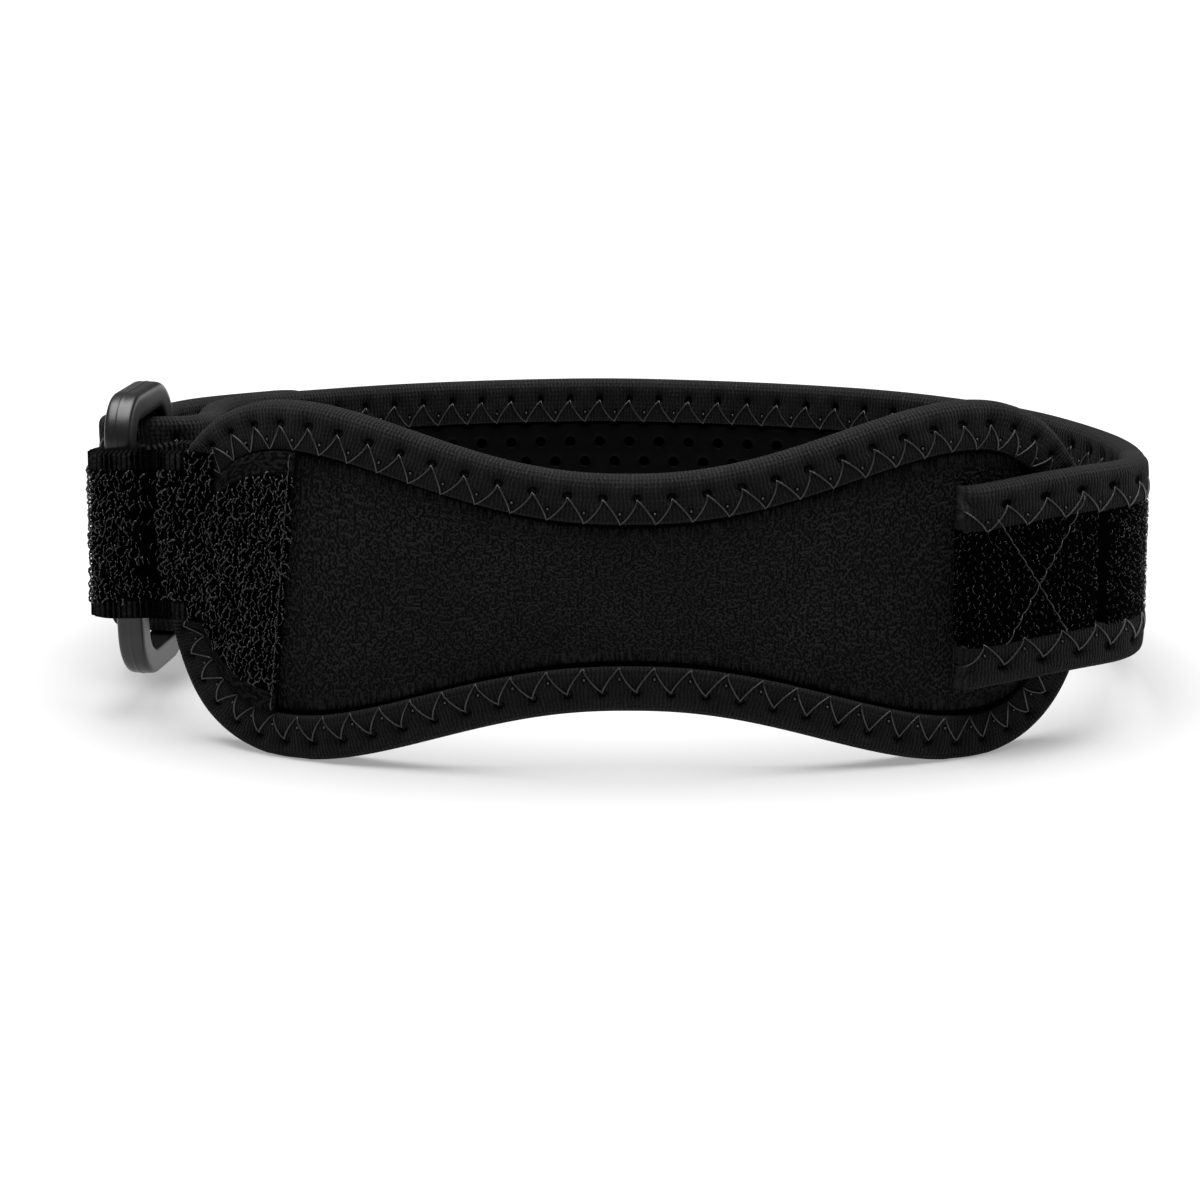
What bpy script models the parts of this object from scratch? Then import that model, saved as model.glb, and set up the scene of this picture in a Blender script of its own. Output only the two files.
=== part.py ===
# Patella strap: a shaped front pad with a knitted edge, a wide strap sewn on its right end,
# and a plastic ring that joins the strap to a short elastic on the pad's left end.
# The loop is closed and stands on the pad's two lobes and on the strap's lower edge at the back.
#
# Every piece is placed by three numbers along one closed curve seen from above:
# how far round the curve (0 is the middle of the pad, plus is to the right), how far out
# from the curve (0 is the inner face, against the leg), and how high.
# Lengths below are in millimetres and become metres when a mesh is made.

import math

import bmesh
import bpy
import numpy as np

MM = 0.001
GAP = 0.3                   # space left between pieces that touch

# The closed curve seen from above
LOOP_WIDTH = 173.0          # inner width, left to right
LOOP_DEPTH = 93.8           # inner depth, front to back
LOOP_SQUARENESS = 2.2       # 2 is an ellipse, more is squarer

# Pad
PAD_THICKNESS = 6.0
PAD_HALF_LENGTH = 80.3
PAD_WAIST = 39.9            # height in the middle
PAD_LOBE = 61.3             # height of each lobe
PAD_LOBE_AT = 0.69          # where the lobe is highest, as a share of the half length
PAD_FLARE = 1.2             # more keeps the waist narrow for longer
PAD_CORNER = 2.2            # roundness of the pad's ends
PAD_CROWN = 0.7             # how far the padded face swells
PAD_CROWN_RISE = 9.0        # width over which it swells
CORE_END_INSET = 1.15       # the core's ends stand back this many times its gap to the band's fold

# Knitted edge band, folded over the edge of the pad and of the strap
BAND_WIDTH = 7.9
BAND_WALL = 1.0
BAND_ROUND = 1.5

# Wide strap
STRAP_THICKNESS = 4.7
STRAP_WIDTH = 40.0
STRAP_BAND_WIDTH = 7.8
FACING_THICKNESS = 1.0
SEWN_OVER_PAD = 27.1        # how far its sewn end reaches over the pad
STRAP_LEAVES_PAD = 22.0     # length over which it comes down from the pad to the loop
FOLD_RADIUS = 7.6           # middle of the strap where it turns round the ring
FOLD_OUT = 0.7              # how far outside the ring's bar the middle of that turn stands
FOLD_CLOSES = 42.0          # length over which the two layers come together again
LAP_PAST_FOLD = 10.0        # how far the folded back end reaches beyond that
LAP_DROP = 0.8              # how much lower the folded back end lies
LAP_DROP_OVER = 24.0        # length over which it drops
HOOK_LENGTH = 18.0
HOOK_THICKNESS = 1.2
HOOK_FROM_END = 2.0

# How the strap's width and height change along it: share of its length up to the ring,
# width as a share of STRAP_WIDTH, height of its middle as a share of STRAP_WIDTH
STRAP_RUN = (
    (0.00, 0.865, -0.010),
    (0.06, 0.870, 0.034),
    (0.125, 0.870, 0.016),
    (0.16, 0.870, -0.015),
    (0.21, 0.875, -0.080),
    (0.28, 0.915, -0.1025),
    (0.32, 0.955, -0.0975),
    (0.42, 0.950, -0.060),
    (0.60, 0.990, -0.050),
    (0.80, 0.975, -0.055),
    (0.90, 0.975, -0.030),
    (0.97, 0.955, 0.060),
    (1.00, 0.955, 0.070),
)
STRAP_EASE = 0.025          # share of the length over which these changes are smoothed

# Ring
RING_HEIGHT = 49.4
RING_WIDTH = 26.0
RING_BAR = 4.8
RING_CORNER = 8.0
RING_EDGE = 1.2             # rounding of the bar's long edges
RING_EDGE_SHARE = 0.3       # how far in the middle of that rounding lies, as a share of it
RING_PAST_PAD = 7.2         # where its front bar stands, beyond the pad's left end
RING_OUT = 6.5              # and how far out
RING_TURN = 12.0            # how much less its rear bar stands out
RING_RAISE = 3.1            # height of its middle above the pad's middle

# Elastic that holds the ring
ELASTIC_THICKNESS = 2.0
ELASTIC_WIDTH = 29.4
ELASTIC_RAISE = 4.3         # height of its middle at the ring
ELASTIC_RAISE_ON_PAD = 6.6  # and at both ends, in front of the pad and behind it
ELASTIC_OVER_PAD = 12.0     # how far it reaches over the pad's end, in front and behind
ELASTIC_SLACK = 1.5         # how much further out its lower edge hangs round the ring's bar

# Loop patch on the pad's left lobe
PATCH_THICKNESS = 1.1
PATCH_LENGTH = 12.0
PATCH_SLANT = 2.2           # its right edge leans by this much

SIDE_LEAN = 2.4             # degrees that the ring's side leans outward at the top
SIDE_LEAN_FROM = 0.41       # where the lean starts and is whole, as shares of LOOP_WIDTH
SIDE_LEAN_WHOLE = 0.475

REST_FLAT = 0.60            # how far the soft edges are pressed where they rest

DRAWN_EVERY = 1.0           # distance between the points that draw a line in plan
BRIDGE_REACH = 0.38         # how far a smooth joining line keeps its first direction

ALONG_BAND = 84             # stations round the pad
ALONG_CORE = 40
ALONG_STRAP = 76
ALONG_ELASTIC = 44
ALONG_HOOK = 8
ALONG_PATCH = 8
ALONG_RING_CORNER = 6


def plan_curve():
    """The closed curve as dense points, with the arc length at each."""
    turn = np.linspace(-math.pi / 2, 3 * math.pi / 2, 4001)
    power = 2.0 / LOOP_SQUARENESS
    across = np.sign(np.cos(turn)) * np.abs(np.cos(turn)) ** power * LOOP_WIDTH / 2
    deep = np.sign(np.sin(turn)) * np.abs(np.sin(turn)) ** power * LOOP_DEPTH / 2
    points = np.stack([across, deep + LOOP_DEPTH / 2 + PAD_THICKNESS], axis=1)
    steps = np.hypot(*np.diff(points, axis=0).T)
    return points, np.concatenate([[0.0], np.cumsum(steps)])


CURVE, CURVE_LENGTH = plan_curve()
LOOP_LENGTH = float(CURVE_LENGTH[-1])


def on_loop(along, out):
    """Plan position at a length along the curve and a distance out from it."""
    def at(length):
        length = length % LOOP_LENGTH
        return np.array([np.interp(length, CURVE_LENGTH, CURVE[:, axis]) for axis in (0, 1)])
    step = LOOP_LENGTH / 400
    ahead = at(along + step) - at(along - step)
    ahead = ahead / np.hypot(*ahead)
    return at(along) + out * np.array([ahead[1], -ahead[0]])


def ease(share):
    share = min(max(share, 0.0), 1.0)
    return share * share * (3 - 2 * share)


def blend(start, end, share):
    return start + (end - start) * ease(share)


def evenly(points, count, closed=False):
    """The same line with evenly spaced points."""
    points = np.asarray(points, float)
    if closed:
        points = np.vstack([points, points[:1]])
    steps = np.linalg.norm(np.diff(points, axis=0), axis=1)
    length = np.concatenate([[0.0], np.cumsum(steps)])
    wanted = np.linspace(0, length[-1], count + 1 if closed else count)
    if closed:
        wanted = wanted[:-1]
    return np.stack([np.interp(wanted, length, axis) for axis in points.T], axis=1)


def normals_of(line, closed=False):
    """Unit normals of a flat line, to the right of its direction."""
    if closed:
        ahead = np.roll(line, -1, axis=0) - np.roll(line, 1, axis=0)
    else:
        ahead = np.gradient(line, axis=0)
    ahead = ahead / np.linalg.norm(ahead, axis=1)[:, None]
    return np.stack([ahead[:, 1], -ahead[:, 0]], axis=1)


def pad_half_height(along):
    """Half the pad's height at a distance from its middle."""
    along = abs(along)
    lobe_at = PAD_LOBE_AT * PAD_HALF_LENGTH
    if along <= lobe_at:
        flare = ease((along / lobe_at) ** PAD_FLARE)
        return (PAD_WAIST + (PAD_LOBE - PAD_WAIST) * flare) / 2
    share = min((along - lobe_at) / (PAD_HALF_LENGTH - lobe_at), 1.0)
    return PAD_LOBE / 2 * (1 - share ** PAD_CORNER) ** (1 / PAD_CORNER)


def pad_outline(count):
    """The pad's edge laid flat: length along the loop and height, with inward normals."""
    turn = np.linspace(0, math.pi, 600)
    upper = [(-PAD_HALF_LENGTH * math.cos(t), pad_half_height(PAD_HALF_LENGTH * math.cos(t))) for t in turn]
    lower = [(-along, -high) for along, high in upper[1:-1]]
    line = evenly(upper + lower, count, closed=True)
    return line, normals_of(line, closed=True)


def mesh_object(name, vertices, faces, material, sharp=40):
    mesh = bpy.data.meshes.new(name)
    mesh.from_pydata([tuple(float(c) * MM for c in v) for v in vertices], [], faces)
    work = bmesh.new()
    work.from_mesh(mesh)
    bmesh.ops.recalc_face_normals(work, faces=work.faces)
    work.to_mesh(mesh)
    work.free()
    mesh.materials.append(material)
    mesh.polygons.foreach_set("use_smooth", [True] * len(mesh.polygons))
    mesh.set_sharp_from_angle(angle=math.radians(sharp))
    item = bpy.data.objects.new(name, mesh)
    bpy.context.scene.collection.objects.link(item)
    return item


def loft(name, rings, material, closed=False):
    """A solid through a row of equal sections. A closed row joins its last section to its first."""
    rings = np.asarray(rings, float)
    rows, columns = rings.shape[:2]
    faces = []
    for row in range(rows if closed else rows - 1):
        here = row * columns
        there = ((row + 1) % rows) * columns
        for column in range(columns):
            beside = (column + 1) % columns
            faces.append((here + column, here + beside, there + beside, there + column))
    if not closed:
        faces.append(tuple(range(columns)))
        faces.append(tuple(range((rows - 1) * columns, rows * columns)))
    return mesh_object(name, rings.reshape(-1, 3), faces, material)


def cloth(name, colour, roughness):
    material = bpy.data.materials.new(name)
    material.use_nodes = True
    shader = material.node_tree.nodes["Principled BSDF"]
    shader.inputs["Base Color"].default_value = (*colour, 1.0)
    shader.inputs["Roughness"].default_value = roughness
    shader.inputs["Metallic"].default_value = 0.0
    material.diffuse_color = (*colour, 1.0)
    return material


def band_section(width, thickness):
    """The folded band cut across: depth from the edge, and distance out from the inner face."""
    corner = BAND_ROUND
    inner = BAND_WALL
    return [
        (width, 0.25 * BAND_WALL),
        (width - 0.5 * corner, 0.0),
        (corner, 0.0),
        (0.3 * corner, 0.3 * corner),
        (0.0, corner),
        (0.0, thickness - corner),
        (0.3 * corner, thickness - 0.3 * corner),
        (corner, thickness),
        (width - 0.5 * corner, thickness),
        (width, thickness - 0.25 * BAND_WALL),
        (width, thickness - inner),
        (inner, thickness - inner),
        (inner, inner),
        (width, inner),
    ]


def pad_binding():
    line, inward = pad_outline(ALONG_BAND)
    rings = []
    for (along, high), (right, up) in zip(line, inward):
        ring = []
        for depth, out in band_section(BAND_WIDTH, PAD_THICKNESS):
            x, y = on_loop(along + depth * right, out)
            ring.append((x, y, high + depth * up))
        rings.append(ring)
    return loft("pad_binding", rings, cloth("knit_binding_black", (0.020, 0.020, 0.021), 0.85), closed=True)


def pad_edge_inside(inset):
    """Half height of the pad's edge moved inward, as a table over the length along."""
    line, inward = pad_outline(600)
    moved = line + inset * inward
    upper = moved[moved[:, 1] > 0]
    upper = upper[np.argsort(upper[:, 0])]
    return upper[:, 0], upper[:, 1]


def pad_core():
    inset = BAND_WALL + GAP
    edge_along, edge_high = pad_edge_inside(inset)
    end = PAD_HALF_LENGTH - CORE_END_INSET * inset
    shares = (-1.0, -0.86, -0.62, -0.36, -0.12, 0.12, 0.36, 0.62, 0.86, 1.0)
    low = BAND_WALL + GAP
    top = PAD_THICKNESS - BAND_WALL - GAP
    rings = []
    for turn in np.linspace(0, math.pi, ALONG_CORE):
        along = -end * math.cos(turn)
        half = float(np.interp(along, edge_along, edge_high))
        ring = []
        for share in shares:
            from_edge = min(half * (1 - abs(share)), PAD_HALF_LENGTH - abs(along)) + inset
            swell = PAD_CROWN * ease((from_edge - BAND_WIDTH) / PAD_CROWN_RISE)
            x, y = on_loop(along, top + swell)
            ring.append((x, y, share * half))
        for share in shares[::-3]:
            x, y = on_loop(along, low)
            ring.append((x, y, share * half))
        rings.append(ring)
    return loft("pad_core", rings, cloth("pad_face_black", (0.016, 0.016, 0.016), 0.55))


def pad_face_out():
    """How far out the padded face swells, inside its binding."""
    return PAD_THICKNESS - BAND_WALL - GAP + PAD_CROWN


def plate(name, line, half_heights, middles, inner, outer, material, rows=2):
    """A sheet along a plan line, from one offset to another."""
    right = normals_of(line)
    rings = []
    for (x, y), (nx, ny), half, middle in zip(line, right, half_heights, middles):
        heights = np.linspace(-half, half, rows)
        ring = [(x + nx * outer, y + ny * outer, middle + high) for high in heights]
        ring += [(x + nx * inner, y + ny * inner, middle + high) for high in heights[::-1]]
        rings.append(ring)
    return loft(name, rings, material)


def ring_frame():
    """Plan positions of the ring's front bar, rear bar and of the strap's fold round it."""
    ring_at = PAD_HALF_LENGTH + RING_PAST_PAD
    front = on_loop(-ring_at, RING_OUT)
    across = RING_WIDTH - RING_BAR
    behind = on_loop(-ring_at - across, RING_OUT - RING_TURN)
    towards = (behind - front) / np.hypot(*(behind - front))
    rear = front + towards * across
    outward = np.array([towards[1], -towards[0]])
    if outward[0] > 0:
        outward = -outward
    play = FOLD_RADIUS - STRAP_THICKNESS / 2 - math.hypot(RING_BAR, RING_BAR) / 2 - GAP
    inward = math.sqrt(max(play * play - FOLD_OUT * FOLD_OUT, 0.0))
    fold = rear + towards * inward + outward * FOLD_OUT
    return front, rear, fold, towards, outward


def strap_line():
    """The strap's middle line seen from above, from its sewn end to its free end,
    and the length along it at which it turns round the ring."""
    half = STRAP_THICKNESS / 2
    on_face = pad_face_out() + GAP + half
    on_band = PAD_THICKNESS + GAP + half
    over_band = PAD_HALF_LENGTH - BAND_WIDTH
    leave = PAD_HALF_LENGTH + GAP
    sewn = PAD_HALF_LENGTH - SEWN_OVER_PAD
    line = []
    for along in np.arange(sewn, leave, DRAWN_EVERY):
        share = (along - sewn) / (over_band - sewn)
        line.append(on_loop(along, blend(on_face, on_band, share)))
    _, _, fold, towards, outward = ring_frame()
    fold_along = along_of(fold)
    close = fold_along - FOLD_CLOSES
    for along in np.arange(leave, close, DRAWN_EVERY):
        line.append(on_loop(along, blend(on_band, half, (along - leave) / STRAP_LEAVES_PAD)))
    inner_side = fold - outward * FOLD_RADIUS
    outer_side = fold + outward * FOLD_RADIUS
    line += bridge(on_loop(close, half), on_loop(close + DRAWN_EVERY, half), inner_side + DRAWN_EVERY * towards,
                   inner_side)
    for turn in np.linspace(0, math.pi, 25)[1:-1]:
        line.append(fold - outward * FOLD_RADIUS * math.cos(turn) - towards * FOLD_RADIUS * math.sin(turn))
    lap = half + STRAP_THICKNESS + HOOK_THICKNESS + 2 * GAP
    line += bridge(outer_side, outer_side + DRAWN_EVERY * towards, on_loop(close + DRAWN_EVERY, lap),
                   on_loop(close, lap))
    for along in np.arange(close - DRAWN_EVERY, close - LAP_PAST_FOLD, -DRAWN_EVERY):
        line.append(on_loop(along, lap))
    line = np.array(line)
    steps = np.concatenate([[0.0], np.cumsum(np.linalg.norm(np.diff(line, axis=0), axis=1))])
    turning = int(np.argmin(np.linalg.norm(line - (fold - towards * FOLD_RADIUS), axis=1)))
    return line, float(steps[turning])


def along_of(place):
    """Length along the curve of the point nearest a plan position."""
    return float(CURVE_LENGTH[int(np.argmin(np.linalg.norm(CURVE - place, axis=1)))])


def bridge(start, start_next, end_before, end):
    """A smooth line between two ends with given directions."""
    reach = np.linalg.norm(np.asarray(end) - np.asarray(start)) * BRIDGE_REACH
    first = np.asarray(start_next) - start
    first = first / np.linalg.norm(first)
    last = np.asarray(end) - end_before
    last = last / np.linalg.norm(last)
    a, b = np.asarray(start), np.asarray(start) + reach * first
    c, d = np.asarray(end) - reach * last, np.asarray(end)
    points = []
    for share in np.linspace(0, 1, 24):
        rest = 1 - share
        points.append(a * rest ** 3 + 3 * b * rest * rest * share + 3 * c * rest * share * share + d * share ** 3)
    return points


def smoothed(share, column):
    """A column of STRAP_RUN at shares of the length, without kinks."""
    table = np.array(STRAP_RUN)
    around = np.linspace(-STRAP_EASE, STRAP_EASE, 7)
    return np.mean([np.interp(share + step, table[:, 0], table[:, column]) for step in around], axis=0)


def strap_stations(count):
    """Evenly spaced stations of the strap: plan points, half widths and middle heights."""
    line, turning = strap_line()
    points = evenly(line, count)
    length = np.concatenate([[0.0], np.cumsum(np.linalg.norm(np.diff(points, axis=0), axis=1))])
    share = 1 - np.abs(1 - length / turning)
    halves = smoothed(share, 1) * STRAP_WIDTH / 2
    middles = smoothed(share, 2) * STRAP_WIDTH
    folded = [LAP_DROP * ease((place - turning) / LAP_DROP_OVER) for place in length]
    return points, halves, middles - folded


def strap_core():
    points, halves, middles = strap_stations(ALONG_STRAP)
    inset = BAND_WALL + GAP
    outer = STRAP_THICKNESS / 2 - FACING_THICKNESS - GAP
    inner = BAND_WALL + GAP - STRAP_THICKNESS / 2
    material = cloth("neoprene_lining_black", (0.011, 0.011, 0.011), 0.6)
    return plate("strap_core", points, halves - inset, middles, inner, outer, material)


def strap_facing():
    points, halves, middles = strap_stations(ALONG_STRAP)
    inset = STRAP_BAND_WIDTH + GAP
    outer = STRAP_THICKNESS / 2
    material = cloth("loop_pile_black", (0.010, 0.010, 0.010), 0.95)
    return plate("strap_facing", points, halves - inset, middles, outer - FACING_THICKNESS, outer, material)


def strap_binding(name, side):
    points, halves, middles = strap_stations(ALONG_STRAP)
    right = normals_of(points)
    rings = []
    for (x, y), (nx, ny), half, middle in zip(points, right, halves, middles):
        ring = []
        for depth, out in band_section(STRAP_BAND_WIDTH, STRAP_THICKNESS):
            offset = out - STRAP_THICKNESS / 2
            ring.append((x + nx * offset, y + ny * offset, middle + side * (half - depth)))
        rings.append(ring)
    return loft(name, rings, cloth(name + "_knit_black", (0.020, 0.020, 0.021), 0.85))


def hook_tab():
    """Hook strip between the folded back end and the strap below it."""
    points, halves, middles = strap_stations(ALONG_STRAP)
    length = np.concatenate([[0.0], np.cumsum(np.linalg.norm(np.diff(points, axis=0), axis=1))])
    total = length[-1]
    wanted = np.linspace(total - HOOK_LENGTH, total - HOOK_FROM_END, ALONG_HOOK)
    line = np.stack([np.interp(wanted, length, axis) for axis in points.T], axis=1)
    half = np.interp(wanted, length, halves) - STRAP_BAND_WIDTH - 2 * GAP
    middle = np.interp(wanted, length, middles)
    inner = STRAP_THICKNESS / 2 + GAP
    material = cloth("hook_strip_black", (0.012, 0.012, 0.012), 0.7)
    # the folded end runs the other way, so its loop side faces the strap below it
    return plate("hook_tab", line, half, middle, inner, inner + HOOK_THICKNESS, material)


def elastic_line(slack):
    """The elastic seen from above, from the pad's front round the ring's front bar and back."""
    front, _, _, towards, outward = ring_frame()
    front = front + outward * slack / 2
    half = ELASTIC_THICKNESS / 2
    round_bar = math.hypot(RING_BAR, RING_BAR) / 2 - RING_EDGE * RING_EDGE_SHARE + GAP + half + slack / 2
    outside = PAD_THICKNESS + GAP + half
    inside = -GAP - half
    end = PAD_HALF_LENGTH - ELASTIC_OVER_PAD
    leave = PAD_HALF_LENGTH - DRAWN_EVERY
    line = [on_loop(-along, outside) for along in np.arange(end, leave, DRAWN_EVERY)]
    outer_side = front + outward * round_bar
    inner_side = front - outward * round_bar
    line += bridge(on_loop(-leave, outside), on_loop(-leave - DRAWN_EVERY, outside),
                   outer_side - towards, outer_side)
    for turn in np.linspace(0, math.pi, 17)[1:-1]:
        line.append(front + outward * round_bar * math.cos(turn) + towards * round_bar * math.sin(turn))
    back = PAD_HALF_LENGTH + DRAWN_EVERY
    line += bridge(inner_side, inner_side - towards, on_loop(-back - DRAWN_EVERY, inside), on_loop(-back, inside))
    line += [on_loop(-along, inside) for along in np.arange(back - DRAWN_EVERY, end, -DRAWN_EVERY)]
    return evenly(line, ALONG_ELASTIC)


def elastic_strap():
    edges = [(elastic_line(0.0), ELASTIC_WIDTH / 2), (elastic_line(ELASTIC_SLACK), -ELASTIC_WIDTH / 2)]
    half = ELASTIC_THICKNESS / 2
    rings = []
    for station in range(ALONG_ELASTIC):
        share = abs(2 * station / (ALONG_ELASTIC - 1) - 1)
        middle = blend(ELASTIC_RAISE, ELASTIC_RAISE_ON_PAD, share)
        corners = []
        for line, high in edges:
            x, y = line[station]
            nx, ny = normals_of(line)[station]
            corners.append([(x + nx * out, y + ny * out, middle + high) for out in (-half, half)])
        rings.append(corners[0] + corners[1][::-1])
    return loft("elastic_strap", rings, cloth("elastic_loop_black", (0.014, 0.014, 0.014), 0.9))


def loop_patch():
    """Loop material on the pad's left lobe, between the binding's edges."""
    inner = pad_face_out() + GAP
    start = -(PAD_HALF_LENGTH - ELASTIC_OVER_PAD) + GAP
    edge_along, edge_high = pad_edge_inside(BAND_WIDTH + GAP)
    rings = []
    levels = (-1.0, -0.5, 0.0, 0.5, 1.0)
    around = [(level, inner + PATCH_THICKNESS) for level in levels] + [(level, inner) for level in levels[::-1]]
    for share in np.linspace(0, 1, ALONG_PATCH):
        ring = []
        for level, out in around:
            along = start + (PATCH_LENGTH + PATCH_SLANT * level) * share
            high = float(np.interp(along, edge_along, edge_high)) * level
            ring.append((*on_loop(along, out), high))
        rings.append(ring)
    return loft("loop_patch", rings, cloth("patch_loop_black", (0.012, 0.012, 0.012), 0.95))


def ring():
    front, rear, _, towards, outward = ring_frame()
    middle = (front + rear) / 2
    half_wide = (RING_WIDTH - RING_BAR) / 2
    half_high = (RING_HEIGHT - RING_BAR) / 2
    corner = RING_CORNER - RING_BAR / 2
    line = []
    for quarter, (side, level) in enumerate(((1, 1), (-1, 1), (-1, -1), (1, -1))):
        for step in range(ALONG_RING_CORNER + 1):
            turn = math.pi / 2 * (quarter + step / ALONG_RING_CORNER)
            line.append((side * (half_wide - corner) + corner * math.cos(turn),
                         level * (half_high - corner) + corner * math.sin(turn)))
    line = np.array(line)
    outside = normals_of(line, closed=True)
    bar = RING_BAR / 2
    cut = RING_EDGE
    between = bar - cut * RING_EDGE_SHARE
    section = [(bar, bar - cut), (between, between), (bar - cut, bar)]
    section = section + [(-b, a) for a, b in section] + [(-a, -b) for a, b in section] + [(b, -a) for a, b in section]
    rings = []
    for (wide, high), (right, up) in zip(line, outside):
        ring_points = []
        for away, thick in section:
            x, y = middle + towards * (wide + away * right) + outward * thick
            ring_points.append((x, y, RING_RAISE + high + away * up))
        rings.append(ring_points)
    return loft("ring", rings, cloth("satin_plastic_grey", (0.055, 0.055, 0.057), 0.38), closed=True)


def lowest(item, angle):
    """Lowest height of a piece when the whole leans back by an angle."""
    places = np.array([vertex.co for vertex in item.data.vertices])
    return float((places[:, 2] * math.cos(angle) - places[:, 1] * math.sin(angle)).min())


def lean_side(items):
    """Leans the ring's side outward at the top, with all that is there."""
    slope = math.tan(math.radians(SIDE_LEAN))
    start = SIDE_LEAN_FROM * LOOP_WIDTH * MM
    whole = SIDE_LEAN_WHOLE * LOOP_WIDTH * MM
    for item in items:
        for vertex in item.data.vertices:
            vertex.co.x -= slope * vertex.co.z * ease((-vertex.co.x - start) / (whole - start))


def settle(items, front, back):
    """Leans the whole back until the pad and the strap's lower edge rest together,
    presses the soft edges flat there, and puts the origin under the middle."""
    low, high = 0.0, math.radians(30)
    for _ in range(40):
        angle = (low + high) / 2
        if lowest(front, angle) < lowest(back, angle):
            low = angle
        else:
            high = angle
    floor = min(lowest(front, angle), lowest(back, angle)) + REST_FLAT * MM
    for item in items:
        for vertex in item.data.vertices:
            x, y, z = vertex.co
            deep = y * math.cos(angle) + z * math.sin(angle)
            high = z * math.cos(angle) - y * math.sin(angle)
            vertex.co = (x, deep, max(high - floor, 0.0))
    places = np.concatenate([[vertex.co[:] for vertex in item.data.vertices] for item in items])
    middle = (places.min(axis=0) + places.max(axis=0)) / 2
    for item in items:
        for vertex in item.data.vertices:
            vertex.co = (vertex.co[0] - middle[0], vertex.co[1] - middle[1], vertex.co[2])
    print("lean", round(math.degrees(angle), 2), "size", (places.max(axis=0) - places.min(axis=0)).round(4),
          "middle", middle.round(5), "loop", round(LOOP_LENGTH, 1))


def build():
    for item in list(bpy.data.objects):
        bpy.data.objects.remove(item)
    front = pad_binding()
    back = strap_binding("strap_binding_bottom", -1)
    items = [front, back, pad_core(), loop_patch(), elastic_strap(), ring(), strap_core(), strap_facing(),
             strap_binding("strap_binding_top", 1), hook_tab()]
    lean_side(items)
    settle(items, front, back)


build()
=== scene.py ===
# %% [markdown]
# # A patella strap
# A patella strap goes round the leg just below the kneecap. This one is closed and stands on a table:
# a waisted pad at the front, a wide strap sewn to its right end, and a plastic ring at the left through
# which the strap turns back on itself. Everything is black, so the looks come from relief: ribbed knit,
# grained cloth, loop pile, punched neoprene and shiny sewing thread.

# %% Load the frame
import math

import bpy
import numpy as np
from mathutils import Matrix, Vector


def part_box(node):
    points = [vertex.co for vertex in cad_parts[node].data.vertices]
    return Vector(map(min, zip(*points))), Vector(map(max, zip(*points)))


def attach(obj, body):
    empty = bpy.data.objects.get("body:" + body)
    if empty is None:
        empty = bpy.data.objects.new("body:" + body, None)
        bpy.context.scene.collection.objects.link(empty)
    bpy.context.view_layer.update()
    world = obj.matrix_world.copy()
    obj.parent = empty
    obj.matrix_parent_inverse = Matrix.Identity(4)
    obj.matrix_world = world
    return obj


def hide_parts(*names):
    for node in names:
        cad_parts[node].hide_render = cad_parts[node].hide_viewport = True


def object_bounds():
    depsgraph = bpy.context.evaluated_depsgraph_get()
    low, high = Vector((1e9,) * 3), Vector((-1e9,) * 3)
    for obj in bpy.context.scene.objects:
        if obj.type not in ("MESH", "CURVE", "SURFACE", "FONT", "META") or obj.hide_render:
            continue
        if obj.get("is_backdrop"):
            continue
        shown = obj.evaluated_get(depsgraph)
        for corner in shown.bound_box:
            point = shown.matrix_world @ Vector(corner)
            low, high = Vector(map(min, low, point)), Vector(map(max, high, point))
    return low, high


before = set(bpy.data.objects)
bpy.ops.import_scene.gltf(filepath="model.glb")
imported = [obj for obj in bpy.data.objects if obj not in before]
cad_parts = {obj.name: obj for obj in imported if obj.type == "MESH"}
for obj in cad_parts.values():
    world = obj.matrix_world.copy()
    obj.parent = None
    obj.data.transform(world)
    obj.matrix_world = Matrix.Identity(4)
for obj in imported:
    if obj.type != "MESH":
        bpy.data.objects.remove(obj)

CAD_BOX = [list(corner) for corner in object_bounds()]
print("CAD box", CAD_BOX)

# %% [markdown]
# The camera comes first, because every choice of detail depends on what it sees. The photograph was
# taken from straight in front and 19 degrees above, from about two thirds of a metre, which shows in how
# much smaller the back of the loop looks than the pad.

# %% Camera
PHOTO_PIXELS = 1200
CAMERA_ABOVE = math.radians(19.0)
CAMERA_AWAY = 0.667
CAMERA_LENS = 122.0
CAMERA_SENSOR = 36.0
AIM_ASIDE_PIXELS = 28.0
AIM_DOWN_PIXELS = 13.5

pad_low, pad_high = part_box("pad_core")
waist = np.array([(pad_low[0] + pad_high[0]) / 2, -0.0535, 0.0336])
ahead = np.array([0.0, math.cos(CAMERA_ABOVE), -math.sin(CAMERA_ABOVE)])
upward = np.array([0.0, math.sin(CAMERA_ABOVE), math.cos(CAMERA_ABOVE)])
pixel = CAMERA_AWAY * CAMERA_SENSOR / (PHOTO_PIXELS * CAMERA_LENS)
aim = waist - np.array([AIM_ASIDE_PIXELS * pixel, 0.0, 0.0]) - upward * AIM_DOWN_PIXELS * pixel
camera_data = bpy.data.cameras.new("camera")
camera_data.lens = CAMERA_LENS
camera_data.sensor_width = CAMERA_SENSOR
camera = bpy.data.objects.new("camera", camera_data)
camera.location = aim - ahead * CAMERA_AWAY
camera.rotation_euler = (math.pi / 2 - CAMERA_ABOVE, 0.0, 0.0)
bpy.context.scene.collection.objects.link(camera)
bpy.context.scene.camera = camera
print("one pixel at the pad is", round(pixel * 1000, 3), "mm")

# %% [markdown]
# Every piece is placed by how far round the loop it lies, how far out from the leg, and how high. The
# same numbers shaped the CAD model, so they are written here again and the pieces fall exactly into
# place. After that the whole loop leans back a little, until the pad and the strap rest together.

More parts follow.
